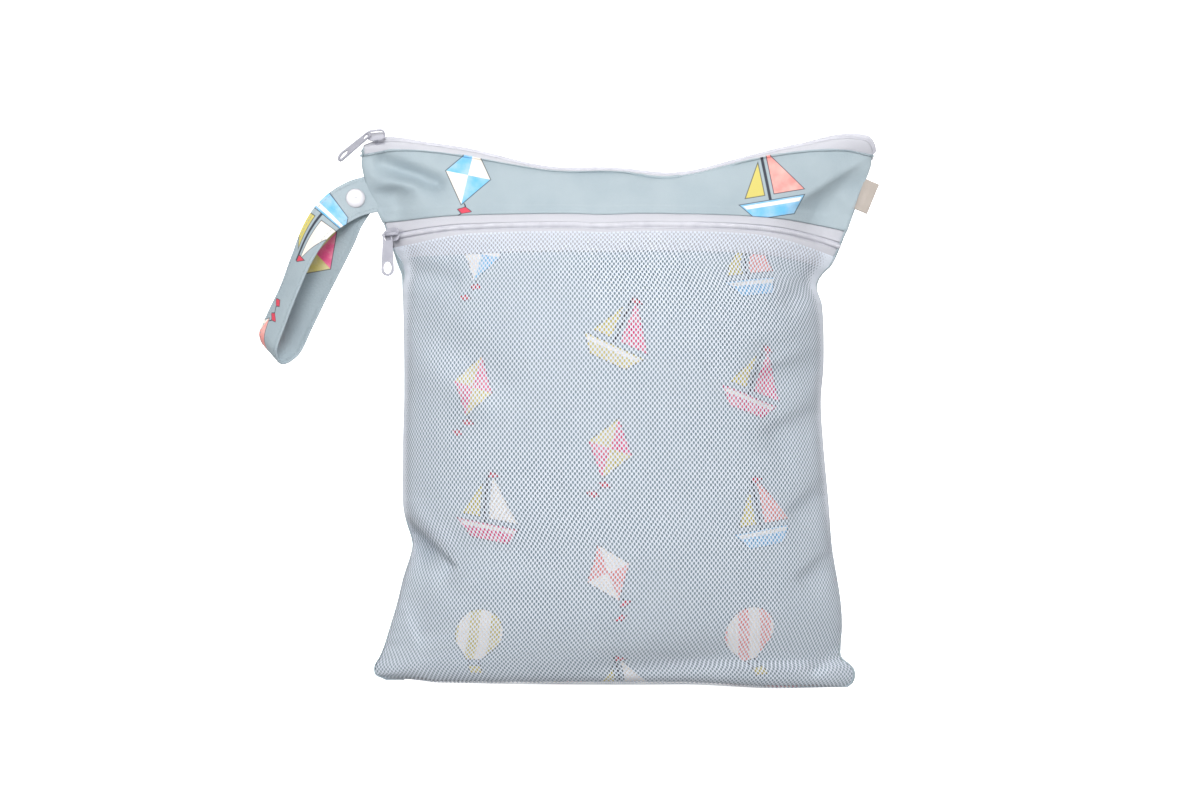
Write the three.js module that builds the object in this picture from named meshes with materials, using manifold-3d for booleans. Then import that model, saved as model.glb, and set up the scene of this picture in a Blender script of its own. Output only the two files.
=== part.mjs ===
// A zipped two-compartment bag for wet things: a stuffed main compartment, a net pocket in front,
// two coil zips, a carrying strap closed by a snap and a bare side label.
// Millimetres, +Z up. The bag stands on its bottom, its front faces -Y and the strap is on the -X side.
import * as THREE from "three";
import { mergeVertices } from "three/addons/utils/BufferGeometryUtils.js";
import Module from "manifold-3d";

const wasm = await Module();
wasm.setup();

// Cloth and clearances
const CLOTH = 1.0;
const TAPE = 0.8;
const CLEAR = 0.3;
const SEAM_HALF_GAP = 0.4;
const SEAM_BEFORE_ORIGIN = 10;
const POCKET_GAP_LOW = 0.7;
const POCKET_GAP_ZIP = 4.2;
const WALL_COLUMNS = 22;
const WALL_ROWS = 24;
const ZIP_ROWS = 4;

// Bottom: a flat that lies on the ground, rolled up into the walls
const BASE_FLAT = 22;
const BASE_ROLL_RADIUS = 16;
const BASE_ROLL_ANGLE = Math.PI / 3;
const BASE_TIP_STEP = 0.12;

// Zips
const COIL_WIDTH = 6.4;
const COIL_HEIGHT = 1.5;
const POCKET_ZIP_HEIGHT = 291.6;
const POCKET_TAPE_LOWER = 6.4;
const POCKET_TAPE_UPPER = 7.0;
const POCKET_ZIP_REACH = 0.985;
const TOP_EDGE_HEIGHT = 327.5;
const TOP_END_RISE = 13;
const TOP_ZIP_RISE = 7.4;
const TOP_LEFT_END = -161;
const TOP_RIGHT_END = 164.5;
const TOP_TILT = THREE.MathUtils.degToRad(38);
const TOP_SPREAD = 9.4;
const TOP_ZIP_REACH = 0.965;

// Slider and pull of a size 5 coil zip
const SLIDER_LENGTH = 11.5;
const SLIDER_WIDTH = 8.8;
const SLIDER_INNER_WIDTH = 4.8;
const SLIDER_INNER_LENGTH = 7.4;
const SLIDER_PLATE = 1.1;
const SLIDER_CHANNEL = 1.95;
const SLIDER_NECK = 0.4;
const BRIDGE_WIDTH = 1.8;
const BRIDGE_THICK = 1.0;
const BRIDGE_HEIGHT = 4.1;
const BRIDGE_LENGTH = 11.5;
const PULL_LENGTH = 29.4;
const PULL_THICK = 1.3;
const PULL_TOP_HALF = 2.95;
const PULL_END_HALF = 3.95;
const PULL_EYE = { half: 1.95, top: 1.4, length: 5.0 };
const PULL_FINGER_HOLE = { half: 2.75, length: 8.0, rim: 1.3 };

// Strap, snap and label
const STRAP_WIDTH = 24;
const STRAP_THICK = 2.0;
const SNAP_RADIUS = 6.2;
const SNAP_CAP_HEIGHT = 1.5;
const SNAP_CORE_RADIUS = 4.6;
const SNAP_CORE_LENGTH = 2.4;
const LABEL = { along: 20.5, out: 9.0, thick: 0.9, height: 313.6 };

// Side outline of the stuffed bag, seen from the front
const OUTLINE = [
  { height: 0, left: -147, right: 149 },
  { height: 3, left: -151, right: 152.5 },
  { height: 9, left: -154, right: 153.8 },
  { height: 14, left: -154, right: 151.5 },
  { height: 19, left: -151, right: 145.2 },
  { height: 26, left: -148, right: 144.6 },
  { height: 39, left: -144, right: 145.4 },
  { height: 54, left: -139.5, right: 144.6 },
  { height: 70, left: -135.6, right: 142.2 },
  { height: 85, left: -130.8, right: 139.6 },
  { height: 93, left: -129.8, right: 138.6 },
  { height: 106, left: -133.6, right: 137.6 },
  { height: 117, left: -135.7, right: 136.8 },
  { height: 157, left: -135.7, right: 133.2 },
  { height: 183, left: -135.0, right: 131.8 },
  { height: 208, left: -135.0, right: 133.6 },
  { height: 244, left: -135.6, right: 132.6 },
  { height: 257, left: -136.2, right: 129.0 },
  { height: 264, left: -136.6, right: 132.8 },
  { height: 270, left: -139.0, right: 138.8 },
  { height: 290, left: -145.3, right: 147.6 },
  { height: 300, left: -148.6, right: 151.6 },
  { height: 311, left: -155.2, right: 155.8 },
  { height: 321, left: -160.2, right: 160.6 },
  { height: 331, left: -162.4, right: 163.4 },
  { height: 341, left: -161.6, right: 165.2 },
  { height: 352, left: -160.0, right: 163.0 },
];

// Depth of the front and back walls at the middle of the bag, above the rolled bottom edge
const DEPTH = [
  { height: 8, front: 35.9, back: 35.9 },
  { height: 16, front: 40.2, back: 40.2 },
  { height: 30, front: 46.5, back: 46.0 },
  { height: 54, front: 54, back: 53 },
  { height: 85, front: 60, back: 59 },
  { height: 120, front: 63.5, back: 63 },
  { height: 190, front: 66, back: 65 },
  { height: 232, front: 64.5, back: 63 },
  { height: 257, front: 60.5, back: 58 },
  { height: 275, front: 54.5, back: 51 },
  { height: 291, front: 46, back: 42 },
  { height: 303, front: 37, back: 33 },
  { height: 316, front: 24, back: 21.5 },
  { height: 327.5, front: 9.8, back: 9.8 },
];

// How full a level section is towards its side seams: 0.5 is an ellipse, 1 a pointed lens
const FULLNESS = [
  { height: 0, power: 0.86 },
  { height: 18, power: 0.8 },
  { height: 45, power: 0.62 },
  { height: 90, power: 0.52 },
  { height: 225, power: 0.52 },
  { height: 272, power: 0.66 },
  { height: 291, power: 0.8 },
  { height: 327.5, power: 0.62 },
];

// Height at which a level line of the middle meets each side seam
const SEAM_HEIGHT = [
  { height: 0, left: 0, right: 0, back: 0 },
  { height: 100, left: 100, right: 100, back: 100 },
  { height: 240, left: 238, right: 232, back: 240 },
  { height: 291.6, left: 290, right: 281.5, back: 291 },
  { height: 306, left: 307, right: 300, back: 308 },
  { height: 327.5, left: 341, right: 341, back: 346 },
];

// Folds of the front wall, as ridges (depth over 0) and valleys (under 0) between two points
const FRONT_FOLDS = [
  { name: "strip left upper", x1: -150, z1: 332, x2: -106, z2: 318, width: 7, depth: -5.0 },
  { name: "strip left middle", x1: -152, z1: 322, x2: -112, z2: 309, width: 6, depth: 3.0 },
  { name: "strip left lower", x1: -152, z1: 306, x2: -136, z2: 318, width: 6, depth: -3.5 },
  { name: "strip right", x1: 118, z1: 309, x2: 156, z2: 329, width: 8, depth: -6.0 },
  { name: "strip right ridge", x1: 122, z1: 324, x2: 152, z2: 337, width: 6, depth: 2.0 },
  { name: "strip middle dip", x1: 26, z1: 326, x2: 40, z2: 306, width: 10, depth: -2.0 },
  { name: "under zip left", x1: -138, z1: 268, x2: -104, z2: 258, width: 7, depth: -5.0 },
  { name: "under zip right", x1: 132, z1: 262, x2: 112, z2: 248, width: 7, depth: -4.5 },
  { name: "left diagonal", x1: -128, z1: 236, x2: -74, z2: 196, width: 14, depth: -3.0 },
  { name: "left diagonal ridge", x1: -124, z1: 206, x2: -84, z2: 182, width: 11, depth: 2.2 },
  { name: "right upper", x1: 128, z1: 216, x2: 76, z2: 198, width: 11, depth: -3.2 },
  { name: "right ridge", x1: 128, z1: 196, x2: 88, z2: 176, width: 9, depth: 3.2 },
  { name: "right lower", x1: 128, z1: 174, x2: 84, z2: 166, width: 10, depth: -2.6 },
  { name: "pinch ridge", x1: -134, z1: 118, x2: -98, z2: 74, width: 8, depth: 4.4 },
  { name: "pinch valley", x1: -130, z1: 100, x2: -108, z2: 66, width: 7, depth: -6.5 },
  { name: "left corner ridge", x1: -138, z1: 60, x2: -124, z2: 30, width: 9, depth: 3.0 },
  { name: "right corner", x1: 144, z1: 34, x2: 128, z2: 18, width: 8, depth: -4.0 },
  { name: "bottom middle", x1: 0, z1: 12, x2: 62, z2: 20, width: 12, depth: -2.4 },
];

const BACK_FOLDS = [
  { name: "upper left", x1: -146, z1: 318, x2: -92, z2: 286, width: 12, depth: -5.0 },
  { name: "upper right", x1: 148, z1: 320, x2: 96, z2: 292, width: 12, depth: -5.0 },
  { name: "shoulder ridge", x1: -40, z1: 312, x2: 46, z2: 318, width: 14, depth: -2.4 },
  { name: "left side", x1: -130, z1: 188, x2: -84, z2: 172, width: 12, depth: -3.6 },
  { name: "right side", x1: 130, z1: 150, x2: 82, z2: 176, width: 12, depth: -3.6 },
  { name: "left pinch", x1: -130, z1: 96, x2: -96, z2: 70, width: 9, depth: -5.0 },
  { name: "right corner", x1: 142, z1: 52, x2: 112, z2: 30, width: 10, depth: -4.0 },
];

// The strap's middle line and the direction from its upper to its lower edge:
// out of the seam, down the front run, round the fold, and up the back run to the snap
const STRAP = [
  { x: -156.4, y: 0.0, z: 314.8, across: [0.44, 0.0, -0.9] },
  { x: -168.0, y: -0.8, z: 310.6, across: [0.38, -0.06, -0.92] },
  { x: -179.2, y: -2.2, z: 304.6, across: [0.44, -0.3, -0.85] },
  { x: -190.0, y: -4.2, z: 293.0, across: [0.53, -0.58, -0.6] },
  { x: -199.6, y: -6.0, z: 274.6, across: [0.52, -0.77, -0.36] },
  { x: -208.0, y: -6.6, z: 254.0, across: [0.5, -0.82, -0.28] },
  { x: -216.2, y: -6.0, z: 235.0, across: [0.52, -0.76, -0.38] },
  { x: -221.6, y: -3.6, z: 220.5, across: [0.52, -0.68, -0.52] },
  { x: -219.0, y: 1.6, z: 213.5, across: [0.5, -0.66, -0.56] },
  { x: -211.0, y: 5.2, z: 218.0, across: [0.5, -0.72, -0.48] },
  { x: -202.4, y: 7.0, z: 234.0, across: [0.5, -0.78, -0.38] },
  { x: -193.2, y: 7.4, z: 252.4, across: [0.5, -0.8, -0.34] },
  { x: -183.0, y: 7.2, z: 272.0, across: [0.5, -0.76, -0.42] },
  { x: -175.4, y: 6.4, z: 289.0, across: [0.5, -0.5, -0.7] },
  { x: -171.6, y: 5.4, z: 301.5, across: [0.44, -0.16, -0.88] },
  { x: -164.8, y: 5.2, z: 313.2, across: [0.4, -0.06, -0.91] },
];
const STRAP_STEPS = 54;
const SNAP_STATION = 1;
const SNAP_BACK_STATION = 14.66;

const COLOUR = { printCloth: 0xc3d4dc, net: 0xdfe2ec, tape: 0xe6e6ee, coil: 0xdddde8, label: 0xd9cdc2 };

const MATERIAL = {
  printCloth: new THREE.MeshStandardMaterial({ color: COLOUR.printCloth, roughness: 0.62, metalness: 0 }),
  net: new THREE.MeshStandardMaterial({ color: COLOUR.net, roughness: 0.8, metalness: 0 }),
  tape: new THREE.MeshStandardMaterial({ color: COLOUR.tape, roughness: 0.75, metalness: 0 }),
  coil: new THREE.MeshStandardMaterial({ color: COLOUR.coil, roughness: 0.45, metalness: 0 }),
  slider: new THREE.MeshStandardMaterial({ color: 0xcfcfd8, roughness: 0.35, metalness: 0.1 }),
  snap: new THREE.MeshStandardMaterial({ color: 0xeeeef2, roughness: 0.3, metalness: 0 }),
  label: new THREE.MeshStandardMaterial({ color: COLOUR.label, roughness: 0.85, metalness: 0 }),
};

const { clamp, lerp, smoothstep } = THREE.MathUtils;

// A smooth value between the rows of a table, by cubic pieces whose slopes are central differences
function between(table, key, column, at) {
  const last = table.length - 1;
  const x = clamp(at, table[0][key], table[last][key]);
  let i = 0;
  while (i < last - 1 && x > table[i + 1][key]) i += 1;
  const slope = (k) => {
    const a = table[Math.max(k - 1, 0)];
    const b = table[Math.min(k + 1, last)];
    return (b[column] - a[column]) / (b[key] - a[key]);
  };
  const span = table[i + 1][key] - table[i][key];
  const t = (x - table[i][key]) / span;
  const rise = t * t * (3 - 2 * t);
  return (
    lerp(table[i][column], table[i + 1][column], rise) +
    span * (t * (1 - t) * (1 - t) * slope(i) - t * t * (1 - t) * slope(i + 1))
  );
}

// The middle section of one wall, from the bottom seam to the top edge, as depth and height by length
function wallProfile(side) {
  const points = [new THREE.Vector2(SEAM_HALF_GAP, 0), new THREE.Vector2(BASE_FLAT, 0)];
  const rollSteps = 6;
  for (let i = 1; i <= rollSteps; i += 1) {
    const turn = (BASE_ROLL_ANGLE * i) / rollSteps;
    const depth = BASE_FLAT + BASE_ROLL_RADIUS * Math.sin(turn);
    points.push(new THREE.Vector2(depth, BASE_ROLL_RADIUS * (1 - Math.cos(turn))));
  }
  const first = DEPTH[0].height;
  const wallSteps = 80;
  for (let i = 1; i <= wallSteps; i += 1) {
    const height = lerp(first, TOP_EDGE_HEIGHT, i / wallSteps);
    points.push(new THREE.Vector2(between(DEPTH, "height", side, height), height));
  }
  const lengths = [0];
  for (let i = 1; i < points.length; i += 1) lengths.push(lengths[i - 1] + points[i].distanceTo(points[i - 1]));
  const total = lengths[lengths.length - 1];
  const at = (length) => {
    let i = 1;
    while (i < points.length - 1 && lengths[i] < length) i += 1;
    const t = clamp((length - lengths[i - 1]) / (lengths[i] - lengths[i - 1]), 0, 1);
    return points[i - 1].clone().lerp(points[i], t);
  };
  const lengthAtHeight = (height) => {
    let i = points.length - 1;
    while (points[i - 1].y > height) i -= 1;
    const t = (height - points[i - 1].y) / (points[i].y - points[i - 1].y);
    return lerp(lengths[i - 1], lengths[i], t);
  };
  return { total, at, lengthAtHeight };
}

const FRONT = wallProfile("front");
const BACK = wallProfile("back");

// Ridges and valleys: a smooth bump across each fold's line, fading out towards both of its ends
function foldDepth(folds, x, z) {
  let sum = 0;
  for (const fold of folds) {
    const dx = fold.x2 - fold.x1;
    const dz = fold.z2 - fold.z1;
    const long = Math.hypot(dx, dz);
    const along = ((x - fold.x1) * dx + (z - fold.z1) * dz) / long;
    const across = ((x - fold.x1) * dz - (z - fold.z1) * dx) / long;
    const beyond = Math.max(-along, along - long, 0) / fold.width;
    const fade = Math.exp(-beyond * beyond);
    sum += fold.depth * fade * Math.exp(-((across / fold.width) ** 2));
  }
  return sum;
}

// The zip across the top: share -1 is the front panel's edge, 0 the coil's crest, 1 the back panel's edge.
// It lies flat in the sagging middle, and at both ends it stands up and leans towards the front.
const topSpread = (u) => TOP_SPREAD * Math.pow(1 - u * u * 0.999, 0.26) + SEAM_HALF_GAP;

function topZip(u, share) {
  const end = smoothstep(Math.abs(u), 0.12, 0.92);
  const spread = topSpread(u);
  const tilt = TOP_TILT * smoothstep(Math.abs(u), 0.45, 0.92);
  const rise = lerp(2.2, TOP_ZIP_RISE, end);
  const height = TOP_EDGE_HEIGHT + TOP_END_RISE * end + spread * Math.sin(tilt);
  const across = spread * share;
  const up = rise * (1 - Math.pow(Math.abs(share), lerp(2, 4, end)));
  return new THREE.Vector3(
    lerp(TOP_LEFT_END, TOP_RIGHT_END, (u + 1) / 2),
    across * Math.cos(tilt) - up * Math.sin(tilt),
    height + across * Math.sin(tilt) + up * Math.cos(tilt),
  );
}

// How a level line rises or falls from the middle to its ends
function endShare(u, height) {
  const droop = Math.pow(Math.abs(u), 3.2);
  const lift = smoothstep(Math.abs(u), 0.12, 0.92);
  return lerp(droop, lift, smoothstep(height, 296, TOP_EDGE_HEIGHT));
}

// Outer skin of one wall at u, from -1 at the left seam to 1 at the right, and a length along its profile
function wallPoint(profile, sign, folds, u, length) {
  const { x: depth, y: height } = profile.at(length);
  const left = between(SEAM_HEIGHT, "height", sign < 0 ? "left" : "back", height);
  const right = between(SEAM_HEIGHT, "height", sign < 0 ? "right" : "back", height);
  const share = endShare(u, height);
  const z = lerp(height, u < 0 ? left : right, share);
  const tip = 1 - BASE_TIP_STEP * Math.max(0, 1 - depth / BASE_FLAT);
  const xLeft = between(OUTLINE, "height", "left", left) * tip;
  const xRight = between(OUTLINE, "height", "right", right) * tip;
  const x = lerp(xLeft, xRight, (u + 1) / 2);
  const section = Math.pow(Math.max(1 - u * u, 0), between(FULLNESS, "height", "power", height));
  const calm = smoothstep(height, 2, 16) * Math.min(1, section * 2.5);
  const bump = calm * foldDepth(folds, x, z);
  const y = sign * (SEAM_HALF_GAP + (depth - SEAM_HALF_GAP) * section + bump);
  const point = new THREE.Vector3(x, y, z);
  const top = topZip(u, sign);
  const joined = smoothstep(length / profile.total, 0.9, 1);
  if (joined > 0) point.lerp(top, joined);
  return point;
}

const frontSkin = (u, length) => wallPoint(FRONT, -1, FRONT_FOLDS, u, length);
const backSkin = (u, length) => wallPoint(BACK, 1, BACK_FOLDS, u, length);

// A closed wall on a grid: surface(a, b) is its skin, and outer and inner are offsets along the skin's normal.
// keep, where given, moves a finished point, so that a rim stays clear of its neighbour.
function sheetSolid({ surface, columns, rows, outer, inner, keep = (p) => p }) {
  const nudge = 1e-3;
  const normalAt = (a, b) => {
    const da = surface(Math.min(a + nudge, 1), b).sub(surface(Math.max(a - nudge, 0), b));
    const db = surface(a, Math.min(b + nudge, 1)).sub(surface(a, Math.max(b - nudge, 0)));
    return da.cross(db).normalize();
  };
  const positions = [];
  for (const offset of [outer, inner]) {
    for (let j = 0; j <= rows; j += 1) {
      for (let i = 0; i <= columns; i += 1) {
        const a = i / columns;
        const b = j / rows;
        const point = keep(surface(a, b).addScaledVector(normalAt(a, b), offset(a, b)));
        positions.push(point.x, point.y, point.z);
      }
    }
  }
  const layer = (columns + 1) * (rows + 1);
  const at = (i, j, k) => k * layer + j * (columns + 1) + i;
  const index = [];
  const quad = (p, q, r, s) => index.push(p, q, r, p, r, s);
  for (let j = 0; j < rows; j += 1) {
    for (let i = 0; i < columns; i += 1) {
      quad(at(i, j, 0), at(i + 1, j, 0), at(i + 1, j + 1, 0), at(i, j + 1, 0));
      quad(at(i, j, 1), at(i, j + 1, 1), at(i + 1, j + 1, 1), at(i + 1, j, 1));
    }
    quad(at(0, j, 0), at(0, j + 1, 0), at(0, j + 1, 1), at(0, j, 1));
    quad(at(columns, j, 0), at(columns, j, 1), at(columns, j + 1, 1), at(columns, j + 1, 0));
  }
  for (let i = 0; i < columns; i += 1) {
    quad(at(i, 0, 0), at(i, 0, 1), at(i + 1, 0, 1), at(i + 1, 0, 0));
    quad(at(i, rows, 0), at(i + 1, rows, 0), at(i + 1, rows, 1), at(i, rows, 1));
  }
  const geometry = new THREE.BufferGeometry();
  geometry.setAttribute("position", new THREE.Float32BufferAttribute(positions, 3));
  geometry.setIndex(index);
  return geometry;
}

// Columns stand closer together towards the side seams, where the wall turns round
const spreadColumns = (a) => Math.sin((a - 0.5) * Math.PI * 0.86) / Math.sin(Math.PI * 0.43);

const bag = new THREE.Group();

function addPiece(name, geometry, material, parent = bag) {
  geometry.computeVertexNormals();
  const mesh = new THREE.Mesh(geometry, material);
  mesh.name = name;
  parent.add(mesh);
  return mesh;
}

const offsetOf = (value) => () => value;
const behindSeam = (sign) => (p) => {
  p.y = sign < 0 ? Math.min(p.y, -CLEAR) : Math.max(p.y, CLEAR);
  return p;
};

// A level band of the front wall between two lengths of its profile
function frontBand({ from, to, columns, rows, outer, inner, reach = 1, start = -reach, keep }) {
  return sheetSolid({
    surface: (a, b) => frontSkin(lerp(start, reach, (spreadColumns(a) + 1) / 2), lerp(from, to, b)),
    columns,
    rows,
    outer,
    inner,
    keep,
  });
}

const zipMiddle = FRONT.lengthAtHeight(POCKET_ZIP_HEIGHT);
const coilLow = zipMiddle - COIL_WIDTH / 2;
const coilHigh = zipMiddle + COIL_WIDTH / 2;
const lowerTapeEdge = coilLow - POCKET_TAPE_LOWER;
const upperTapeEdge = coilHigh + POCKET_TAPE_UPPER;

// Rows crowd the rolled bottom edge, then spread up the wall
function wallRows(total, b) {
  const rollEnd = BASE_FLAT + BASE_ROLL_RADIUS * BASE_ROLL_ANGLE;
  const low = 0.26;
  if (b < low) return (rollEnd * b) / low;
  return lerp(rollEnd, total, (b - low) / (1 - low));
}

// The panel between the compartments stands off behind the zip's slider, and comes back to the strip above it
function pocketGap(length) {
  const height = FRONT.at(length).y;
  const open = smoothstep(height, 225, 278) * (1 - smoothstep(length, coilHigh + 2, upperTapeEdge + 1));
  return lerp(POCKET_GAP_LOW, POCKET_GAP_ZIP, open);
}

function addWalls() {
  const meshTop = lowerTapeEdge - CLEAR;
  addPiece(
    "mesh_pocket",
    sheetSolid({
      surface: (a, b) => frontSkin(spreadColumns(a), wallRows(meshTop, b)),
      columns: WALL_COLUMNS,
      rows: WALL_ROWS,
      outer: offsetOf(0),
      inner: offsetOf(-CLOTH),
      keep: behindSeam(-1),
    }),
    MATERIAL.net,
  );
  const innerTop = upperTapeEdge + 3;
  const rows = WALL_ROWS + ZIP_ROWS;
  const innerRow = (b) => {
    const row = b * rows;
    if (row <= WALL_ROWS) return wallRows(meshTop, row / WALL_ROWS);
    return lerp(meshTop, innerTop, (row - WALL_ROWS) / ZIP_ROWS);
  };
  const innerColumn = (a) => lerp(1, WALL_COLUMNS - 1, a) / WALL_COLUMNS;
  addPiece(
    "inner_panel",
    sheetSolid({
      surface: (a, b) => frontSkin(spreadColumns(innerColumn(a)), innerRow(b)),
      columns: WALL_COLUMNS - 2,
      rows,
      outer: (a, b) => -CLOTH - pocketGap(innerRow(b)),
      inner: (a, b) => -2 * CLOTH - pocketGap(innerRow(b)),
      keep: behindSeam(-1),
    }),
    MATERIAL.printCloth,
  );
  addPiece(
    "back_panel",
    sheetSolid({
      surface: (a, b) => backSkin(-spreadColumns(a), wallRows(BACK.total, b)),
      columns: WALL_COLUMNS,
      rows: WALL_ROWS,
      outer: offsetOf(0),
      inner: offsetOf(-CLOTH),
      keep: behindSeam(1),
    }),
    MATERIAL.printCloth,
  );
  addPiece(
    "upper_strip",
    frontBand({
      from: upperTapeEdge + CLEAR + 0.1,
      to: FRONT.total,
      columns: 24,
      rows: 5,
      outer: offsetOf(0),
      inner: offsetOf(-CLOTH),
      keep: behindSeam(-1),
    }),
    MATERIAL.printCloth,
  );
}

// A coil's rounded back across its width, with a groove along the middle where its two sides mesh
const COIL_BACK = [0.1, 0.86, 0.9, 0.86, 0.1];
const coilBack = (b) => COIL_HEIGHT * COIL_BACK[Math.round(b * (COIL_BACK.length - 1))];

const POCKET_SLIDER_U = -0.965;
const POCKET_COIL_START = -0.952;
const TOP_SLIDER_U = -0.945;
const TOP_COIL_START = -0.932;

function addPocketZip() {
  const flat = { columns: 24, outer: offsetOf(0), inner: offsetOf(-TAPE), keep: behindSeam(-1) };
  const tapes = [
    { name: "pocket_tape_lower", from: lowerTapeEdge, to: coilLow - CLEAR },
    { name: "pocket_tape_upper", from: coilHigh + CLEAR, to: upperTapeEdge },
  ];
  for (const { name, from, to } of tapes) {
    addPiece(name, frontBand({ ...flat, from, to, rows: 1, reach: POCKET_ZIP_REACH }), MATERIAL.tape);
  }
  addPiece(
    "pocket_coil",
    frontBand({
      from: coilLow,
      to: coilHigh,
      columns: 24,
      rows: COIL_BACK.length - 1,
      outer: (a, b) => coilBack(b),
      inner: offsetOf(-TAPE),
      reach: POCKET_ZIP_REACH,
      start: POCKET_COIL_START,
    }),
    MATERIAL.coil,
  );
}

function addTopZip() {
  const column = (a, start) => lerp(start, TOP_ZIP_REACH, (spreadColumns(a) + 1) / 2);
  const tapes = [
    { name: "top_tape_front", side: -1 },
    { name: "top_tape_back", side: 1 },
  ];
  for (const { name, side } of tapes) {
    const surface = (a, b) => {
      const u = column(a, -TOP_ZIP_REACH);
      const nearCoil = (COIL_WIDTH / 2 + CLEAR) / topSpread(u);
      const atPanel = lerp(0.9, 0.95, smoothstep(Math.abs(u), 0.2, 0.9));
      const [from, to] = side < 0 ? [-atPanel, -nearCoil] : [nearCoil, atPanel];
      return topZip(u, lerp(from, to, b));
    };
    addPiece(
      name,
      sheetSolid({ surface, columns: 24, rows: 2, outer: offsetOf(0), inner: offsetOf(-TAPE) }),
      MATERIAL.tape,
    );
  }
  const crest = (a, b) => {
    const u = column(a, TOP_COIL_START);
    return topZip(u, ((b - 0.5) * COIL_WIDTH) / topSpread(u));
  };
  addPiece(
    "top_coil",
    sheetSolid({
      surface: crest,
      columns: 24,
      rows: COIL_BACK.length - 1,
      outer: (a, b) => coilBack(b),
      inner: offsetOf(-TAPE),
    }),
    MATERIAL.coil,
  );
}

// Booleans: closed three.js geometry to a solid and back
function solidOf(geometry) {
  const bare = geometry.clone();
  bare.deleteAttribute("normal");
  bare.deleteAttribute("uv");
  const merged = mergeVertices(bare, 1e-4);
  return new wasm.Manifold(
    new wasm.Mesh({
      numProp: 3,
      vertProperties: new Float32Array(merged.attributes.position.array),
      triVerts: new Uint32Array(merged.index.array),
    }),
  );
}

function joined(geometries) {
  const whole = geometries.map(solidOf).reduce((sum, next) => sum.add(next));
  const mesh = whole.getMesh();
  const geometry = new THREE.BufferGeometry();
  geometry.setAttribute("position", new THREE.Float32BufferAttribute(mesh.vertProperties, 3));
  geometry.setIndex(Array.from(mesh.triVerts));
  return geometry;
}

// Rounded outlines for the hard pieces
function roundedRectangle(length, width, radius) {
  const l = length / 2;
  const w = width / 2;
  const shape = new THREE.Shape();
  shape.moveTo(-l + radius, -w).lineTo(l - radius, -w);
  shape.absarc(l - radius, -w + radius, radius, -Math.PI / 2, 0, false);
  shape.absarc(l - radius, w - radius, radius, 0, Math.PI / 2, false);
  shape.absarc(-l + radius, w - radius, radius, Math.PI / 2, Math.PI, false);
  shape.absarc(-l + radius, -w + radius, radius, Math.PI, 1.5 * Math.PI, false);
  return shape;
}

const plate = (shape, thick, curveSegments = 4) =>
  new THREE.ExtrudeGeometry(shape, { depth: thick, bevelEnabled: false, curveSegments });

// A slider in its own frame: +X along the zip towards its closed end, +Z out of the cloth.
// Two plates hold the coil between them, a neck joins them, and a bridge on top carries the pull.
function sliderGeometry() {
  const outline = roundedRectangle(SLIDER_LENGTH, SLIDER_WIDTH, 3.6);
  const innerOutline = roundedRectangle(SLIDER_INNER_LENGTH, SLIDER_INNER_WIDTH, 1.6);
  const upper = plate(outline, SLIDER_PLATE).translate(0, 0, SLIDER_CHANNEL);
  const setBack = (SLIDER_INNER_LENGTH - SLIDER_LENGTH) / 2;
  const lower = plate(innerOutline, SLIDER_PLATE).translate(setBack, 0, -SLIDER_CHANNEL - SLIDER_PLATE + 0.2);
  const neckLength = 1.8;
  const neck = new THREE.BoxGeometry(neckLength, 2.4, 2 * SLIDER_CHANNEL + SLIDER_PLATE);
  neck.translate(SLIDER_NECK, 0, 0);
  const foot = SLIDER_CHANNEL + SLIDER_PLATE - 0.3;
  const half = BRIDGE_LENGTH / 2;
  const top = SLIDER_CHANNEL + SLIDER_PLATE + BRIDGE_HEIGHT + BRIDGE_THICK / 2;
  const under = top - BRIDGE_THICK;
  const arch = new THREE.Shape();
  arch.moveTo(-half, foot).lineTo(-half, under - 0.8).lineTo(-half + 1.8, top).lineTo(half - 1.4, top);
  arch.lineTo(half, under - 0.4).lineTo(half, foot).lineTo(half - BRIDGE_THICK, foot);
  arch.lineTo(half - BRIDGE_THICK, under - 0.6).lineTo(half - 1.8, under).lineTo(-half + 2.2, under);
  arch.lineTo(-half + BRIDGE_THICK, under - 1.2).lineTo(-half + BRIDGE_THICK, foot).closePath();
  const bridge = plate(arch, BRIDGE_WIDTH).rotateX(Math.PI / 2).translate(0, BRIDGE_WIDTH / 2, 0);
  return joined([upper, lower, neck, bridge]);
}

// A pull in its own frame: the bridge runs through its eye at the origin, and its long side hangs to -Y
function pullGeometry() {
  const eyeTop = PULL_EYE.top;
  const top = eyeTop + 1.4;
  const end = top - PULL_LENGTH;
  const shape = new THREE.Shape();
  shape.absarc(0, top - PULL_TOP_HALF, PULL_TOP_HALF, 0, Math.PI, false);
  shape.absarc(0, end + PULL_END_HALF, PULL_END_HALF, Math.PI, 2 * Math.PI, false);
  shape.closePath();
  const eye = new THREE.Path();
  const corner = 1.1;
  const low = eyeTop - PULL_EYE.length;
  eye.absarc(PULL_EYE.half - corner, eyeTop - corner, corner, 0, Math.PI / 2, false);
  eye.absarc(-PULL_EYE.half + corner, eyeTop - corner, corner, Math.PI / 2, Math.PI, false);
  eye.absarc(-PULL_EYE.half + corner, low + corner, corner, Math.PI, 1.5 * Math.PI, false);
  eye.absarc(PULL_EYE.half - corner, low + corner, corner, 1.5 * Math.PI, 2 * Math.PI, false);
  const finger = new THREE.Path();
  const fingerMiddle = end + PULL_FINGER_HOLE.rim + PULL_FINGER_HOLE.length / 2;
  finger.absellipse(0, fingerMiddle, PULL_FINGER_HOLE.half, PULL_FINGER_HOLE.length / 2, 0, 2 * Math.PI);
  shape.holes.push(eye, finger);
  return plate(shape, PULL_THICK, 5).translate(0, 0, -PULL_THICK / 2);
}

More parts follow.
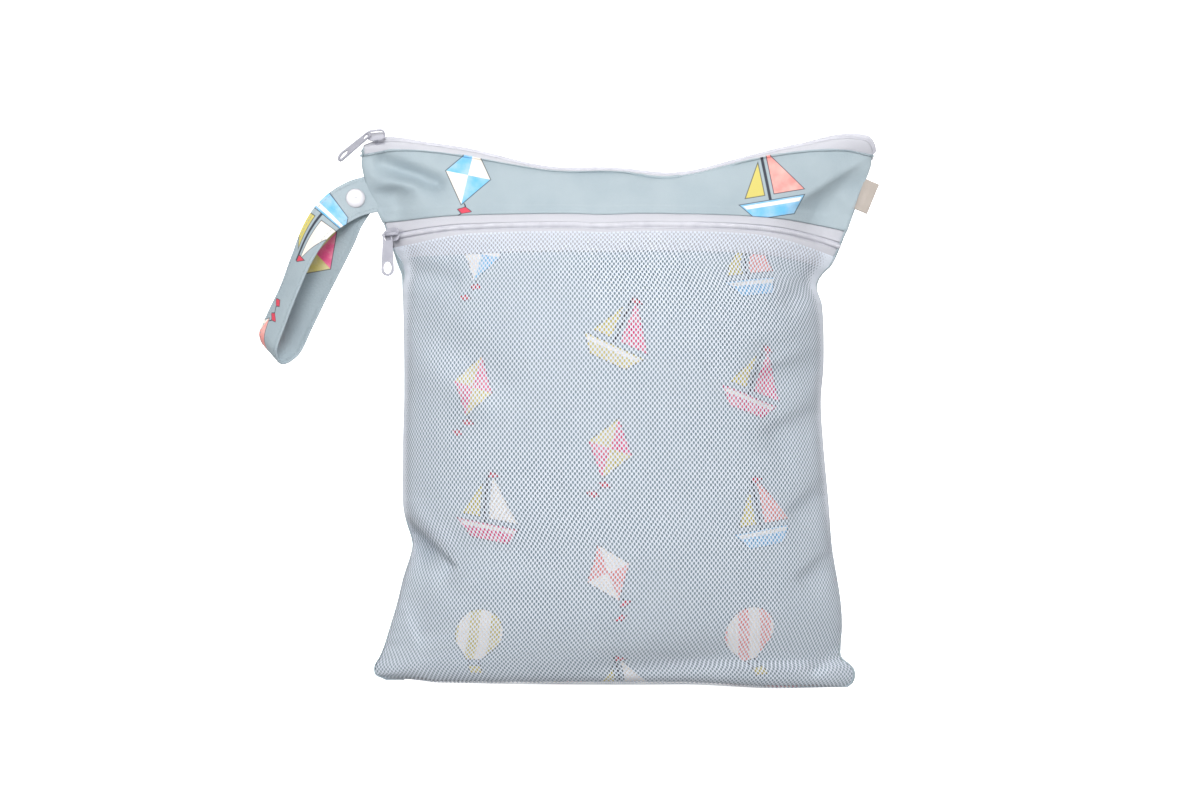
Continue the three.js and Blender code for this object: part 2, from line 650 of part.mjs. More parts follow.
// A group whose axes are given in the bag's frame
function placed(origin, xAxis, yAxis, zAxis) {
  const group = new THREE.Group();
  group.matrixAutoUpdate = false;
  group.matrix.makeBasis(xAxis, yAxis, zAxis).setPosition(origin);
  bag.add(group);
  return group;
}

// The frame of a zip at u: along the zip towards the left end, across it, and out of the cloth
function zipFrame(surface, u, share) {
  const step = 0.02;
  const origin = surface(u, share);
  const along = surface(u - step, share).sub(surface(u + step, share)).normalize();
  const over = surface(u, share + step).sub(surface(u, share - step));
  const out = over.clone().cross(along).normalize();
  const across = out.clone().cross(along).normalize();
  return { origin, along, across, out };
}

const BRIDGE_CENTRE = SLIDER_CHANNEL + SLIDER_PLATE + BRIDGE_HEIGHT;
const POCKET_PULL_FACING = THREE.MathUtils.degToRad(12);
const TOP_PULL_DROP = THREE.MathUtils.degToRad(38);
const TOP_PULL_PIVOT = BRIDGE_LENGTH / 2 - BRIDGE_THICK - 1.1;

function addPocketSlider() {
  const surface = (u, share) => frontSkin(u, zipMiddle + share * 10);
  const { origin, along, across, out } = zipFrame(surface, POCKET_SLIDER_U, 0);
  const slider = placed(origin, along, across, out);
  addPiece("pocket_slider", sliderGeometry(), MATERIAL.slider, slider);
  const pivot = origin.clone().addScaledVector(out, BRIDGE_CENTRE);
  const up = new THREE.Vector3(0, 0, 1);
  const facing = new THREE.Vector3(Math.sin(POCKET_PULL_FACING), -Math.cos(POCKET_PULL_FACING), 0);
  const side = up.clone().cross(facing);
  const pull = placed(pivot, side, up, facing);
  addPiece("pocket_pull", pullGeometry(), MATERIAL.slider, pull);
}

function addTopSlider() {
  const { origin, along, across, out } = zipFrame(topZip, TOP_SLIDER_U, 0);
  const slider = placed(origin, along, across, out);
  addPiece("top_slider", sliderGeometry(), MATERIAL.slider, slider);
  const under = BRIDGE_CENTRE - BRIDGE_THICK / 2 - 1.1;
  const pivot = origin.clone().addScaledVector(along, TOP_PULL_PIVOT).addScaledVector(out, under);
  const down = along.clone().multiplyScalar(Math.cos(TOP_PULL_DROP));
  down.addScaledVector(out, -Math.sin(TOP_PULL_DROP));
  const up = down.clone().multiplyScalar(-1);
  const facing = across.clone().cross(up);
  const eyeBar = PULL_EYE.top + 0.7;
  const pull = placed(pivot.clone().addScaledVector(up, -eyeBar), across, up, facing);
  addPiece("top_pull", pullGeometry(), MATERIAL.slider, pull);
}

// The strap as a ribbon: its middle line and its across directions both run smoothly through the stations
const strapLine = new THREE.CatmullRomCurve3(STRAP.map(({ x, y, z }) => new THREE.Vector3(x, y, z)));
const strapAcross = new THREE.CatmullRomCurve3(STRAP.map(({ across }) => new THREE.Vector3(...across)));

function strapFrame(share) {
  const along = strapLine.getTangent(share);
  const across = strapAcross.getPoint(share);
  across.addScaledVector(along, -across.dot(along)).normalize();
  const face = across.clone().cross(along).normalize();
  return { middle: strapLine.getPoint(share), along, across, face };
}

function addStrap() {
  const surface = (a, b) => {
    const { middle, across } = strapFrame(a);
    return middle.addScaledVector(across, (0.5 - b) * STRAP_WIDTH);
  };
  const half = STRAP_THICK / 2;
  addPiece(
    "strap",
    sheetSolid({ surface, columns: STRAP_STEPS, rows: 2, outer: offsetOf(half), inner: offsetOf(-half) }),
    MATERIAL.printCloth,
  );
}

// A snap's parts are turned about the axis through both runs of the strap
function turned(profile, sides = 16) {
  return new THREE.LatheGeometry(profile.map(([r, z]) => new THREE.Vector2(r, z)), sides).rotateX(Math.PI / 2);
}

function addSnap() {
  const frameAt = (station, side) => {
    const { middle, across, face } = strapFrame(station / (STRAP.length - 1));
    const upper = across.clone().multiplyScalar(-1);
    const out = face.y * side > 0 ? face : face.clone().multiplyScalar(-1);
    const right = upper.clone().cross(out);
    return (distance) => placed(middle.clone().addScaledVector(out, distance), right, upper, out);
  };
  const onFront = frameAt(SNAP_STATION, -1);
  const onBack = frameAt(SNAP_BACK_STATION, 1);
  const rim = 0.5;
  const cap = [
    [0, 0],
    [SNAP_RADIUS, 0],
    [SNAP_RADIUS, rim],
    [SNAP_RADIUS * 0.86, SNAP_CAP_HEIGHT * 0.78],
    [SNAP_RADIUS * 0.5, SNAP_CAP_HEIGHT],
    [0, SNAP_CAP_HEIGHT],
  ];
  const core = [
    [0, 0],
    [SNAP_CORE_RADIUS, 0],
    [SNAP_CORE_RADIUS, SNAP_CORE_LENGTH],
    [0, SNAP_CORE_LENGTH],
  ];
  const stand = STRAP_THICK / 2 + 2 * CLEAR;
  addPiece("snap_cap", turned(cap), MATERIAL.snap, onFront(stand));
  addPiece("snap_core", turned(core), MATERIAL.snap, onFront(-stand - SNAP_CORE_LENGTH));
  addPiece("snap_back_cap", turned(cap), MATERIAL.snap, onBack(stand));
}

// A folded ribbon sewn into the right seam, with nothing on it
function addLabel() {
  const low = LABEL.height - LABEL.along / 2;
  const high = LABEL.height + LABEL.along / 2;
  const seam = (height) => new THREE.Vector3(between(OUTLINE, "height", "right", height), 0, height);
  const up = seam(high).sub(seam(low)).normalize();
  const facing = new THREE.Vector3(0, -1, 0);
  const out = up.clone().cross(facing);
  const group = placed(seam(LABEL.height).addScaledVector(out, LABEL.out / 2 + 0.1), out, up, facing);
  const shape = roundedRectangle(LABEL.out, LABEL.along, 0.4);
  addPiece("side_label", plate(shape, LABEL.thick, 2).translate(0, 0, -LABEL.thick / 2), MATERIAL.label, group);
}

addWalls();
addPocketZip();
addTopZip();
addPocketSlider();
addTopSlider();
addStrap();
addSnap();
addLabel();

// The part's origin is on the flat bottom of the back panel, a little behind the bottom seam
const part = new THREE.Group();
bag.position.y = -SEAM_BEFORE_ORIGIN;
part.add(bag);

export default part;
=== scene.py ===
"""Looks of a stuffed, zipped two-compartment bag with a net pocket in front.

Sizes inside the classes are millimetres in the bag's own frame: x to the right, y to the back from the
plane of the side seams, z up from the ground. `Piece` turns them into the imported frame's metres. A name that
ends in `span` holds the two places between which something fades in.
"""

import logging
import math
from dataclasses import dataclass, field
from enum import Enum
from functools import partial
from typing import Callable, Sequence

import bpy
import numpy as np
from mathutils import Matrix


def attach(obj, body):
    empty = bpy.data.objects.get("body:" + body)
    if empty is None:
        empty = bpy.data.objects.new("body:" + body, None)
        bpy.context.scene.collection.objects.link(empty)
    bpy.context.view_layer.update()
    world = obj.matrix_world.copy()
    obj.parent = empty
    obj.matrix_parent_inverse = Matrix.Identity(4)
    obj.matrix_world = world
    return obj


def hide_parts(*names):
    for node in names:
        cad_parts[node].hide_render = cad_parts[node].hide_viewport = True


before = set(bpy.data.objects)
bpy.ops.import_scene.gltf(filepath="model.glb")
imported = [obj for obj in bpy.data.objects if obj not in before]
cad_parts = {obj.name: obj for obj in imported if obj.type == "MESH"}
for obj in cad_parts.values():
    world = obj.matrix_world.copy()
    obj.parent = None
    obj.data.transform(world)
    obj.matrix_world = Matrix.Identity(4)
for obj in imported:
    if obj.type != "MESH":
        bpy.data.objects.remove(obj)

logging.basicConfig(level=logging.INFO, format="%(name)s: %(message)s")
LOG = logging.getLogger("bag")
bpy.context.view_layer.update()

Array = np.ndarray
Pair = tuple[float, float]
Span = Pair
Triple = tuple[float, float, float]
Material = bpy.types.Material
Socket = bpy.types.NodeSocket
MM = 0.001
SEAM_Y = -10.0
BACKWARD = np.array([0.0, 1.0, 0.0])
UP = np.array([0.0, 0.0, 1.0])
ZIP_HEIGHT = 293.8


class Side(Enum):
    """The two walls of the bag; the value is the sign of the wall's y."""

    FRONT = -1
    BACK = 1


class Body(Enum):
    """The bodies that pieces ride on."""

    BAG = "bag"
    TOP_PULL = "top_pull"
    POCKET_PULL = "pocket_pull"


class Slot(Enum):
    """Names of the material slots."""

    PRINT = "print_cloth"
    NET = "net"
    TAPE = "zip_tape"
    COIL = "zip_coil"
    METAL = "zip_metal"
    SNAP = "snap_plastic"
    LABEL = "label_ribbon"


def smoothstep(x: Array, low: float, high: float) -> Array:
    """A smooth rise from 0 at low to 1 at high."""
    t = np.clip((np.asarray(x, float) - low) / (high - low), 0.0, 1.0)
    return t * t * (3.0 - 2.0 * t)


def lerp(a: Array, b: Array, t: Array) -> Array:
    """The value at share t between a and b."""
    return a + (b - a) * t


def unit(v: Array) -> Array:
    """Vectors of length 1 along the last axis."""
    return v / np.maximum(np.linalg.norm(v, axis=-1, keepdims=True), 1e-12)


def bell(x: Array, middle: float, width: float) -> Array:
    """A bell that is 1 at its middle and 1/e at its width from there."""
    return np.exp(-(((x - middle) / width) ** 2))


def walked_along(points: Array) -> Array:
    """Lengths walked along a line of points, from 0 at the first one."""
    steps = np.linalg.norm(np.diff(points, axis=0), axis=1)
    return np.concatenate([[0.0], np.cumsum(steps)])


def squared_off(wave: Array, power: float) -> Array:
    """A sine or cosine whose size is raised to a power, with its sign kept: a circle becomes boxier."""
    return np.sign(wave) * np.abs(wave) ** power


def crowded(count: int, bend: float) -> Array:
    """Shares from -1 to 1, closer together towards both ends as the bend nears a quarter turn."""
    return np.sin(np.linspace(-bend, bend, count)) / math.sin(bend)


def round_turn(count: int) -> Array:
    """Angles of one whole turn, without its end."""
    return np.linspace(0, 2 * math.pi, count, endpoint=False)


@dataclass(frozen=True)
class Table:
    """Rows of values by height, read by cubic pieces whose slopes are central differences."""

    columns: tuple[str, ...]
    rows: tuple[tuple[float, ...], ...]

    def at(self, column: str, height: Array) -> Array:
        """Values of a column at heights, which are held inside the table."""
        keys = np.array([row[0] for row in self.rows])
        values = np.array([row[self.columns.index(column)] for row in self.rows])
        last = len(keys) - 1
        before = np.maximum(np.arange(last + 1) - 1, 0)
        after = np.minimum(np.arange(last + 1) + 1, last)
        slopes = (values[after] - values[before]) / (keys[after] - keys[before])
        x = np.clip(height, keys[0], keys[-1])
        i = np.clip(np.searchsorted(keys, x, side="left") - 1, 0, last - 1)
        span = keys[i + 1] - keys[i]
        t = (x - keys[i]) / span
        level = lerp(values[i], values[i + 1], t * t * (3.0 - 2.0 * t))
        return level + span * (t * (1 - t) ** 2 * slopes[i] - t * t * (1 - t) * slopes[i + 1])


class Bend(Enum):
    """The two ways in which cloth leaves a fold's line."""

    ROUND = "round"
    EDGE = "edge"


@dataclass(frozen=True)
class Fold:
    """A fold between two points of a wall seen from the front.

    A round one is a ridge (depth over 0) or a valley (under 0). Beside an edge the cloth drops sharply on
    the right of the way from start to end, is deepest at the fold's width from the line, and comes back
    slowly; `soft` is the share of the width over which the edge itself is rounded.
    """

    start: Pair
    end: Pair
    width: float
    depth: float
    bend: Bend = Bend.ROUND
    soft: float = 0.08

    def height(self, x: Array, z: Array) -> Array:
        """How far the fold lifts the cloth: a bell or a drop across its line, fading past its ends."""
        dx = self.end[0] - self.start[0]
        dz = self.end[1] - self.start[1]
        long = math.hypot(dx, dz)
        along = ((x - self.start[0]) * dx + (z - self.start[1]) * dz) / long
        across = ((x - self.start[0]) * dz - (z - self.start[1]) * dx) / long
        beyond = np.maximum(np.maximum(-along, along - long), 0.0) / self.width
        if self.bend is Bend.EDGE:
            away = across / self.width
            away = (away + np.sqrt(away * away + self.soft**2)) / 2
            shape = away * np.exp(1 - away)
        else:
            shape = bell(across, 0.0, self.width)
        return self.depth * np.exp(-beyond * beyond) * shape


OUTLINE = Table(
    ("height", "left", "right"),
    (
        (0, -147, 149), (3, -151, 152.5), (9, -154, 153.8), (14, -154, 151.5), (19, -151, 145.2),
        (26, -148, 144.6), (39, -144, 145.4), (54, -139.5, 144.6), (70, -135.6, 142.2),
        (85, -130.8, 139.6), (93, -129.8, 138.6), (106, -133.6, 137.6), (117, -135.7, 136.8),
        (157, -135.7, 133.2), (183, -135.0, 131.8), (208, -135.0, 133.6), (244, -135.6, 132.6),
        (257, -136.2, 129.0), (264, -136.6, 132.8), (270, -139.0, 138.8), (290, -145.3, 147.6),
        (300, -148.6, 151.6), (311, -155.2, 155.8), (321, -160.2, 160.6), (331, -162.4, 163.4),
        (341, -161.6, 165.2), (352, -160.0, 163.0),
    ),
)

DEPTH = Table(
    ("height", "front", "back"),
    (
        (8, 35.9, 35.9), (16, 40.2, 40.2), (30, 46.5, 46.0), (54, 54, 53), (85, 60, 59),
        (120, 63.5, 63), (190, 66, 65), (232, 64.5, 63), (257, 60.5, 58), (275, 54.5, 51),
        (291, 46, 42), (303, 37, 33), (316, 24, 21.5), (327.5, 9.8, 9.8),
    ),
)

FULLNESS = Table(
    ("height", "power"),
    (
        (0, 0.86), (18, 0.8), (45, 0.62), (90, 0.52), (225, 0.52), (272, 0.66), (291, 0.8),
        (327.5, 0.62),
    ),
)

SEAM_HEIGHT = Table(
    ("height", "left", "right", "back"),
    (
        (0, 0, 0, 0), (100, 100, 100, 100), (240, 238, 232, 240), (293.8, 290, 281.5, 293),
        (306, 307, 300, 308), (327.5, 341, 341, 346),
    ),
)

FRONT_FOLDS = (
    Fold((-149, 335), (-114, 321.5), 5.5, -7.5),
    Fold((-152, 323.5), (-128, 321), 4.5, 3.2),
    Fold((-158, 319.0), (-142, 320.0), 9.5, -9.0, Bend.EDGE, 0.1),
    Fold((-135, 317), (-143, 308), 4.5, 2.4),
    Fold((125, 315), (146, 328.5), 18.0, -14.0, Bend.EDGE, 0.05),
    Fold((148, 312), (157, 330), 6.0, 2.5),
    Fold((26, 326), (40, 306), 10, -2.0),
    Fold((-138, 268), (-104, 258), 7, -5.0),
    Fold((132, 262), (112, 248), 7, -4.5),
    Fold((-128, 236), (-74, 196), 13, -3.0),
    Fold((-124, 206), (-84, 182), 10, 2.2),
    Fold((132, 226), (92, 212), 9, -2.0),
    Fold((92, 203), (128, 217), 10, -6.0, Bend.EDGE, 0.35),
    Fold((98, 168), (132, 186), 10, -6.0, Bend.EDGE, 0.35),
    Fold((112, 118), (137, 138), 8, -5.0, Bend.EDGE, 0.3),
    Fold((118, 76), (138, 90), 7, -5.0, Bend.EDGE, 0.3),
    Fold((-133, 116.5), (-108, 93.0), 7.0, 3.0),
    Fold((-135, 111.5), (-114, 92.5), 7.0, -15.0, Bend.EDGE, 0.03),
    Fold((-135, 111.5), (-102, 81.5), 3.0, -9.0, Bend.EDGE, 0.03),
    Fold((-124, 92), (-104, 66), 8, -2.2),
    Fold((-128, 34), (-139, 62), 7, -3.4, Bend.EDGE, 0.2),
    Fold((144, 24), (128, 12), 4.5, -4.0),
    Fold((0, 12), (62, 20), 12, -2.4),
)

BACK_FOLDS = (
    Fold((-146, 318), (-92, 286), 12, -5.0),
    Fold((148, 320), (96, 292), 12, -5.0),
    Fold((-40, 312), (46, 318), 14, -2.4),
    Fold((-130, 188), (-84, 172), 12, -3.6),
    Fold((130, 150), (82, 176), 12, -3.6),
    Fold((-130, 96), (-96, 70), 9, -5.0),
    Fold((142, 52), (112, 30), 10, -4.0),
)


@dataclass(frozen=True)
class Swell:
    """A rise along a line: its middle, its width and its height there."""

    middle: float
    width: float
    height: float

    def at(self, x: Array) -> Array:
        """The rise at places along the line."""
        return self.height * bell(x, self.middle, self.width)


RIM_SWELLS = (Swell(-8, 24, 1.8), Swell(46, 26, -3.0))


@dataclass(frozen=True)
class BagForm:
    """The stuffed bag's skin: where a share across and a length up each wall lie in space."""

    base_flat: float = 22.0
    base_tip_step: float = 0.12
    roll_radius: float = 16.0
    roll_angle: float = math.pi / 3
    roll_steps: int = 13
    wall_steps: int = 161
    middle_lift: float = 3.4
    middle_right_span: Span = (40, 110)
    middle_left_span: Span = (118, 150)
    middle_height_span: Span = (0, 44)
    tip_lift: float = 5.0
    tip_left_span: Span = (112, 146)
    tip_height_span: Span = (0, 10)
    droop_powers: Pair = (3.2, 4.4)
    zip_reach: float = 16.0
    zip_dip: float = 0.9
    zip_dip_at: float = -8.0
    zip_dip_reach: float = 15.0
    zip_left_drop: float = 2.7
    zip_left_span: Span = (96.0, 150.0)
    top_edge: float = 327.5
    top_left: float = -162.6
    top_right: float = 165.4
    top_rise_from: float = 296.0
    top_rise_span: Span = (0.1, 0.85)
    top_end_rise: float = 16.0
    top_end_drop: float = 3.0
    top_end_span: Span = (0.88, 1.0)
    top_flat_rise: float = 1.9
    top_left_rise: float = 4.4
    top_left_span: Span = (0.25, 0.6)
    top_right_rise: float = 7.0
    top_right_span: Span = (0.45, 1.0)
    top_corner: float = 0.96
    top_corner_width: float = 0.04
    top_tilt: float = math.radians(38)
    top_tilt_span: Span = (0.72, 0.97)
    top_spread: float = 9.4
    top_pinch: float = 0.999
    top_pinch_power: float = 0.26
    arch_powers: Pair = (2.0, 4.0)
    arch_span: Span = (0.64, 0.96)
    joined_span: Span = (0.9, 1.0)
    tuck: float = 3.0
    tuck_height: float = 271.0
    tuck_reach: float = 9.0
    tuck_span: Span = (0.8, 1.0)
    calm_base_span: Span = (2, 16)
    calm_side: float = 2.5
    calm_top_span: Span = (0.965, 1.0)
    pucker_height: float = 0.5
    pucker_pitch: float = 9.0
    pucker_sway: float = 2.1
    pucker_sway_pitch: float = 23.0
    pucker_reach: float = 0.06
    pucker_seam_span: Span = (0.0, 0.02)
    pucker_base_span: Span = (4, 20)

    def profile(self, side: Side) -> tuple[Array, Array, Array]:
        """The middle section of a wall: flat bottom, a rolled edge, then the wall.

        Args:
            side: which wall.

        Returns:
            Lengths along the section, depths and heights.
        """
        turn = np.linspace(0, self.roll_angle, self.roll_steps)
        roll_depth = self.base_flat + self.roll_radius * np.sin(turn)
        roll_height = self.roll_radius * (1 - np.cos(turn))
        height = np.linspace(DEPTH.rows[0][0], self.top_edge, self.wall_steps)[1:]
        depth = np.concatenate([[0.0], roll_depth, DEPTH.at(side.name.lower(), height)])
        height = np.concatenate([[0.0], roll_height, height])
        steps = np.hypot(np.diff(depth), np.diff(height))
        return np.concatenate([[0.0], np.cumsum(steps)]), depth, height

    def total(self, side: Side) -> float:
        """Length of a wall's middle section."""
        return float(self.profile(side)[0][-1])

    def length_at(self, side: Side, height: float) -> float:
        """Length along a wall's middle section at a height above the rolled edge."""
        lengths, _, heights = self.profile(side)
        return float(np.interp(height, heights[2:], lengths[2:]))

    def spread(self, u: Array) -> Array:
        """Half width of the top zip: full in the middle and pinched to nothing at both ends."""
        return self.top_spread * np.power(1 - self.top_pinch * u * u, self.top_pinch_power)

    def top_x(self, u: Array) -> Array:
        """Distance to the right at a share across the top."""
        return lerp(self.top_left, self.top_right, (u + 1) / 2)

    def top_rim(self, u: Array) -> Array:
        """Height of the front panel's upper edge: low and uneven in the middle, high towards both ends."""
        sag = sum(swell.at(self.top_x(u)) for swell in RIM_SWELLS)
        rise = self.top_end_rise * smoothstep(np.abs(u), *self.top_rise_span)
        drop = self.top_end_drop * smoothstep(np.abs(u), *self.top_end_span)
        return self.top_edge + rise - drop + sag

    def top_zip(self, u: Array, share: Array) -> Array:
        """The band across the top, from the front panel's edge at share -1 to the back one's at 1.

        It lies flat in the sagging middle, and at both ends it stands up and leans to the front. At the
        right end it bends down round the corner.
        """
        end = smoothstep(np.abs(u), *self.arch_span)
        spread = self.spread(u)
        tilt = self.top_tilt * smoothstep(np.abs(u), *self.top_tilt_span)
        past = np.clip((u - self.top_corner) / self.top_corner_width, 0.0, 1.0)
        corner = np.sqrt(np.maximum(1 - past**2, 0.0))
        left = lerp(self.top_flat_rise, self.top_left_rise, smoothstep(-u, *self.top_left_span))
        right = lerp(self.top_flat_rise, self.top_right_rise, smoothstep(u, *self.top_right_span))
        right = right + self.top_end_drop * smoothstep(u, *self.top_end_span)
        rise = np.where(u < 0, left, right) * corner
        across = spread * share
        up = rise * (1 - np.power(np.abs(share), lerp(*self.arch_powers, end)))
        height = self.top_rim(u) + spread * np.sin(tilt)
        x = self.top_x(u) + 0 * share
        y = across * np.cos(tilt) - up * np.sin(tilt)
        z = height + across * np.sin(tilt) + up * np.cos(tilt)
        return np.stack([x, y, z], axis=-1)

    def base_lift(self, x: Array, height: Array) -> Array:
        """How far the bottom stands off the ground: the middle, and the underside at the left tip."""
        middle = self.middle_lift * (1 - smoothstep(x, *self.middle_right_span))
        middle = middle * (1 - smoothstep(-x, *self.middle_left_span))
        tip = self.tip_lift * smoothstep(-x, *self.tip_left_span)
        tip = tip * (1 - smoothstep(height, *self.tip_height_span))
        return middle * (1 - smoothstep(height, *self.middle_height_span)) + tip

    def level(self, front: bool, u: Array, depth: Array, height: Array) -> tuple[Array, Array]:
        """Where a wall's points lie across and up, with drooping seams, a lifted base and the zip's dips.

        Args:
            front: whether it is the front wall.
            u: share across.
            depth: depth of the middle section.
            height: height of the middle section.

        Returns:
            Distances to the right and up.
        """
        left = SEAM_HEIGHT.at("left" if front else "back", height)
        right = SEAM_HEIGHT.at("right" if front else "back", height)
        droop = np.power(np.abs(u), np.where(u < 0, *self.droop_powers))
        lift = smoothstep(np.abs(u), *self.top_rise_span)
        share = lerp(droop, lift, smoothstep(height, self.top_rise_from, self.top_edge))
        z = lerp(height, np.where(u < 0, left, right), share)
        tip = 1 - self.base_tip_step * np.maximum(0.0, 1 - depth / self.base_flat)
        x = lerp(OUTLINE.at("left", left) * tip, OUTLINE.at("right", right) * tip, (u + 1) / 2)
        if not front:
            return x, z + self.base_lift(x, height)
        x = x + self.tuck * bell(z, self.tuck_height, self.tuck_reach) * smoothstep(-u, *self.tuck_span)
        near = bell(height, ZIP_HEIGHT, self.zip_reach)
        z = z + self.base_lift(x, height)
        z = z - self.zip_dip * near * bell(x, self.zip_dip_at, self.zip_dip_reach)
        return x, z - self.zip_left_drop * near * smoothstep(-x, *self.zip_left_span)

    def pucker(self, u: Array, length: Array, height: Array) -> Array:
        """Small gathers of the cloth beside the side seams."""
        sway = self.pucker_sway * np.sin(length / self.pucker_sway_pitch)
        wave = np.sin(2 * math.pi * length / self.pucker_pitch + sway)
        inside = 1 - np.abs(u)
        near_seam = bell(inside, 0.0, self.pucker_reach) * smoothstep(inside, *self.pucker_seam_span)
        return self.pucker_height * wave * near_seam * smoothstep(height, *self.pucker_base_span)

    def skin(self, side: Side, u: Array, length: Array, folded: bool = True) -> Array:
        """A wall's outer skin: lens-shaped level sections, moved by folds, closing into the top zip.

        Args:
            side: which wall.
            u: share across, -1 at the left seam and 1 at the right one.
            length: length up the middle section.
            folded: whether the folds and puckers are laid in.

        Returns:
            Points in space, one for each pair.
        """
        lengths, depths, heights = self.profile(side)
        depth = np.interp(length, lengths, depths)
        height = np.interp(length, lengths, heights)
        front = side is Side.FRONT
        x, z = self.level(front, u, depth, height)
        section = np.power(np.maximum(1 - u * u, 0.0), FULLNESS.at("power", height))
        up_wall = length / lengths[-1]
        joined = smoothstep(up_wall, *self.joined_span)
        plain = np.stack([x, side.value * depth * section, z], axis=-1)
        points = lerp(plain, self.top_zip(u, side.value + 0 * u), joined[..., None])
        if not folded:
            return points
        calm = smoothstep(height, *self.calm_base_span) * np.minimum(1.0, section * self.calm_side)
        calm = calm * (1 - smoothstep(up_wall, *self.calm_top_span))
        folds = FRONT_FOLDS if front else BACK_FOLDS
        bump = calm * sum(fold.height(points[..., 0], points[..., 2]) for fold in folds)
        points[..., 1] += side.value * (bump + self.pucker(u, length, height) * (1 - joined))
        return points


@dataclass
class Patch:
    """A skin sampled by flat cloth coordinates: x from the middle along a row, and l up the cloth.

    Each row of the skin is measured along its own line before the folds are laid in, so that equal steps of
    x are equal lengths of cloth and a print stays straight beside a fold. The margin keeps the highest
    sample inside the last cell.
    """

    skin: Callable[[Array, Array, bool], Array]
    lengths: Array
    outward: float = 1.0
    columns: int = 421
    samples: int = 801
    margin: float = 1.001
    points: Array = field(init=False)
    normals: Array = field(init=False)
    width: float = field(init=False)

    def __post_init__(self) -> None:
        """Measures the rows and samples the skin."""
        u = crowded(self.samples, math.pi / 2)
        rows = self.skin(u[None, :], self.lengths[:, None] + 0 * u[None, :], False)
        arc = np.cumsum(np.linalg.norm(np.diff(rows, axis=1), axis=2), axis=1)
        arc = np.concatenate([np.zeros((len(arc), 1)), arc], axis=1)
        share = 2 * arc / arc[:, -1:] - 1
        f = np.linspace(-1, 1, self.columns)
        u_of_f = np.stack([np.interp(f, row, u) for row in share])
        self.points = self.skin(u_of_f, self.lengths[:, None] + 0 * u_of_f, True)
        along = np.gradient(self.points, axis=1)
        upward = np.gradient(self.points, axis=0)
        self.normals = self.outward * unit(np.cross(along, upward))
        self.width = float(np.max(arc[:, -1]))

    def edge(self, column: int, share: Array) -> Array:
        """Points of the first or last column at shares of the whole length."""
        row = share * self.lengths[-1]
        return np.stack([np.interp(row, self.lengths, self.points[:, column, k]) for k in range(3)], axis=1)

    def at(self, x: Array, length: Array, lift: Array = 0.0) -> Array:
        """Points of the cloth at flat distances across and up, lifted along its normals."""
        point, normal = self.frame(x, length)
        return point + normal * np.asarray(lift)[..., None]

    def frame(self, x: Array, length: Array) -> tuple[Array, Array]:
        """Points of the skin and its normals, read between the samples in straight lines both ways."""
        x, length = np.broadcast_arrays(np.asarray(x, float), np.asarray(length, float))
        rows = len(self.lengths)
        column = np.clip((x / self.width + 0.5) * (self.columns - 1), 0, self.columns - self.margin)
        row = np.clip(np.interp(length, self.lengths, np.arange(rows)), 0, rows - self.margin)
        i, j = column.astype(int), row.astype(int)
        s, t = (column - i)[..., None], (row - j)[..., None]

        def blend(grid: Array) -> Array:
            """A grid's value between its four nearest samples."""
            low = lerp(grid[j, i], grid[j, i + 1], s)
            return lerp(low, lerp(grid[j + 1, i], grid[j + 1, i + 1], s), t)

        return blend(self.points), unit(blend(self.normals))


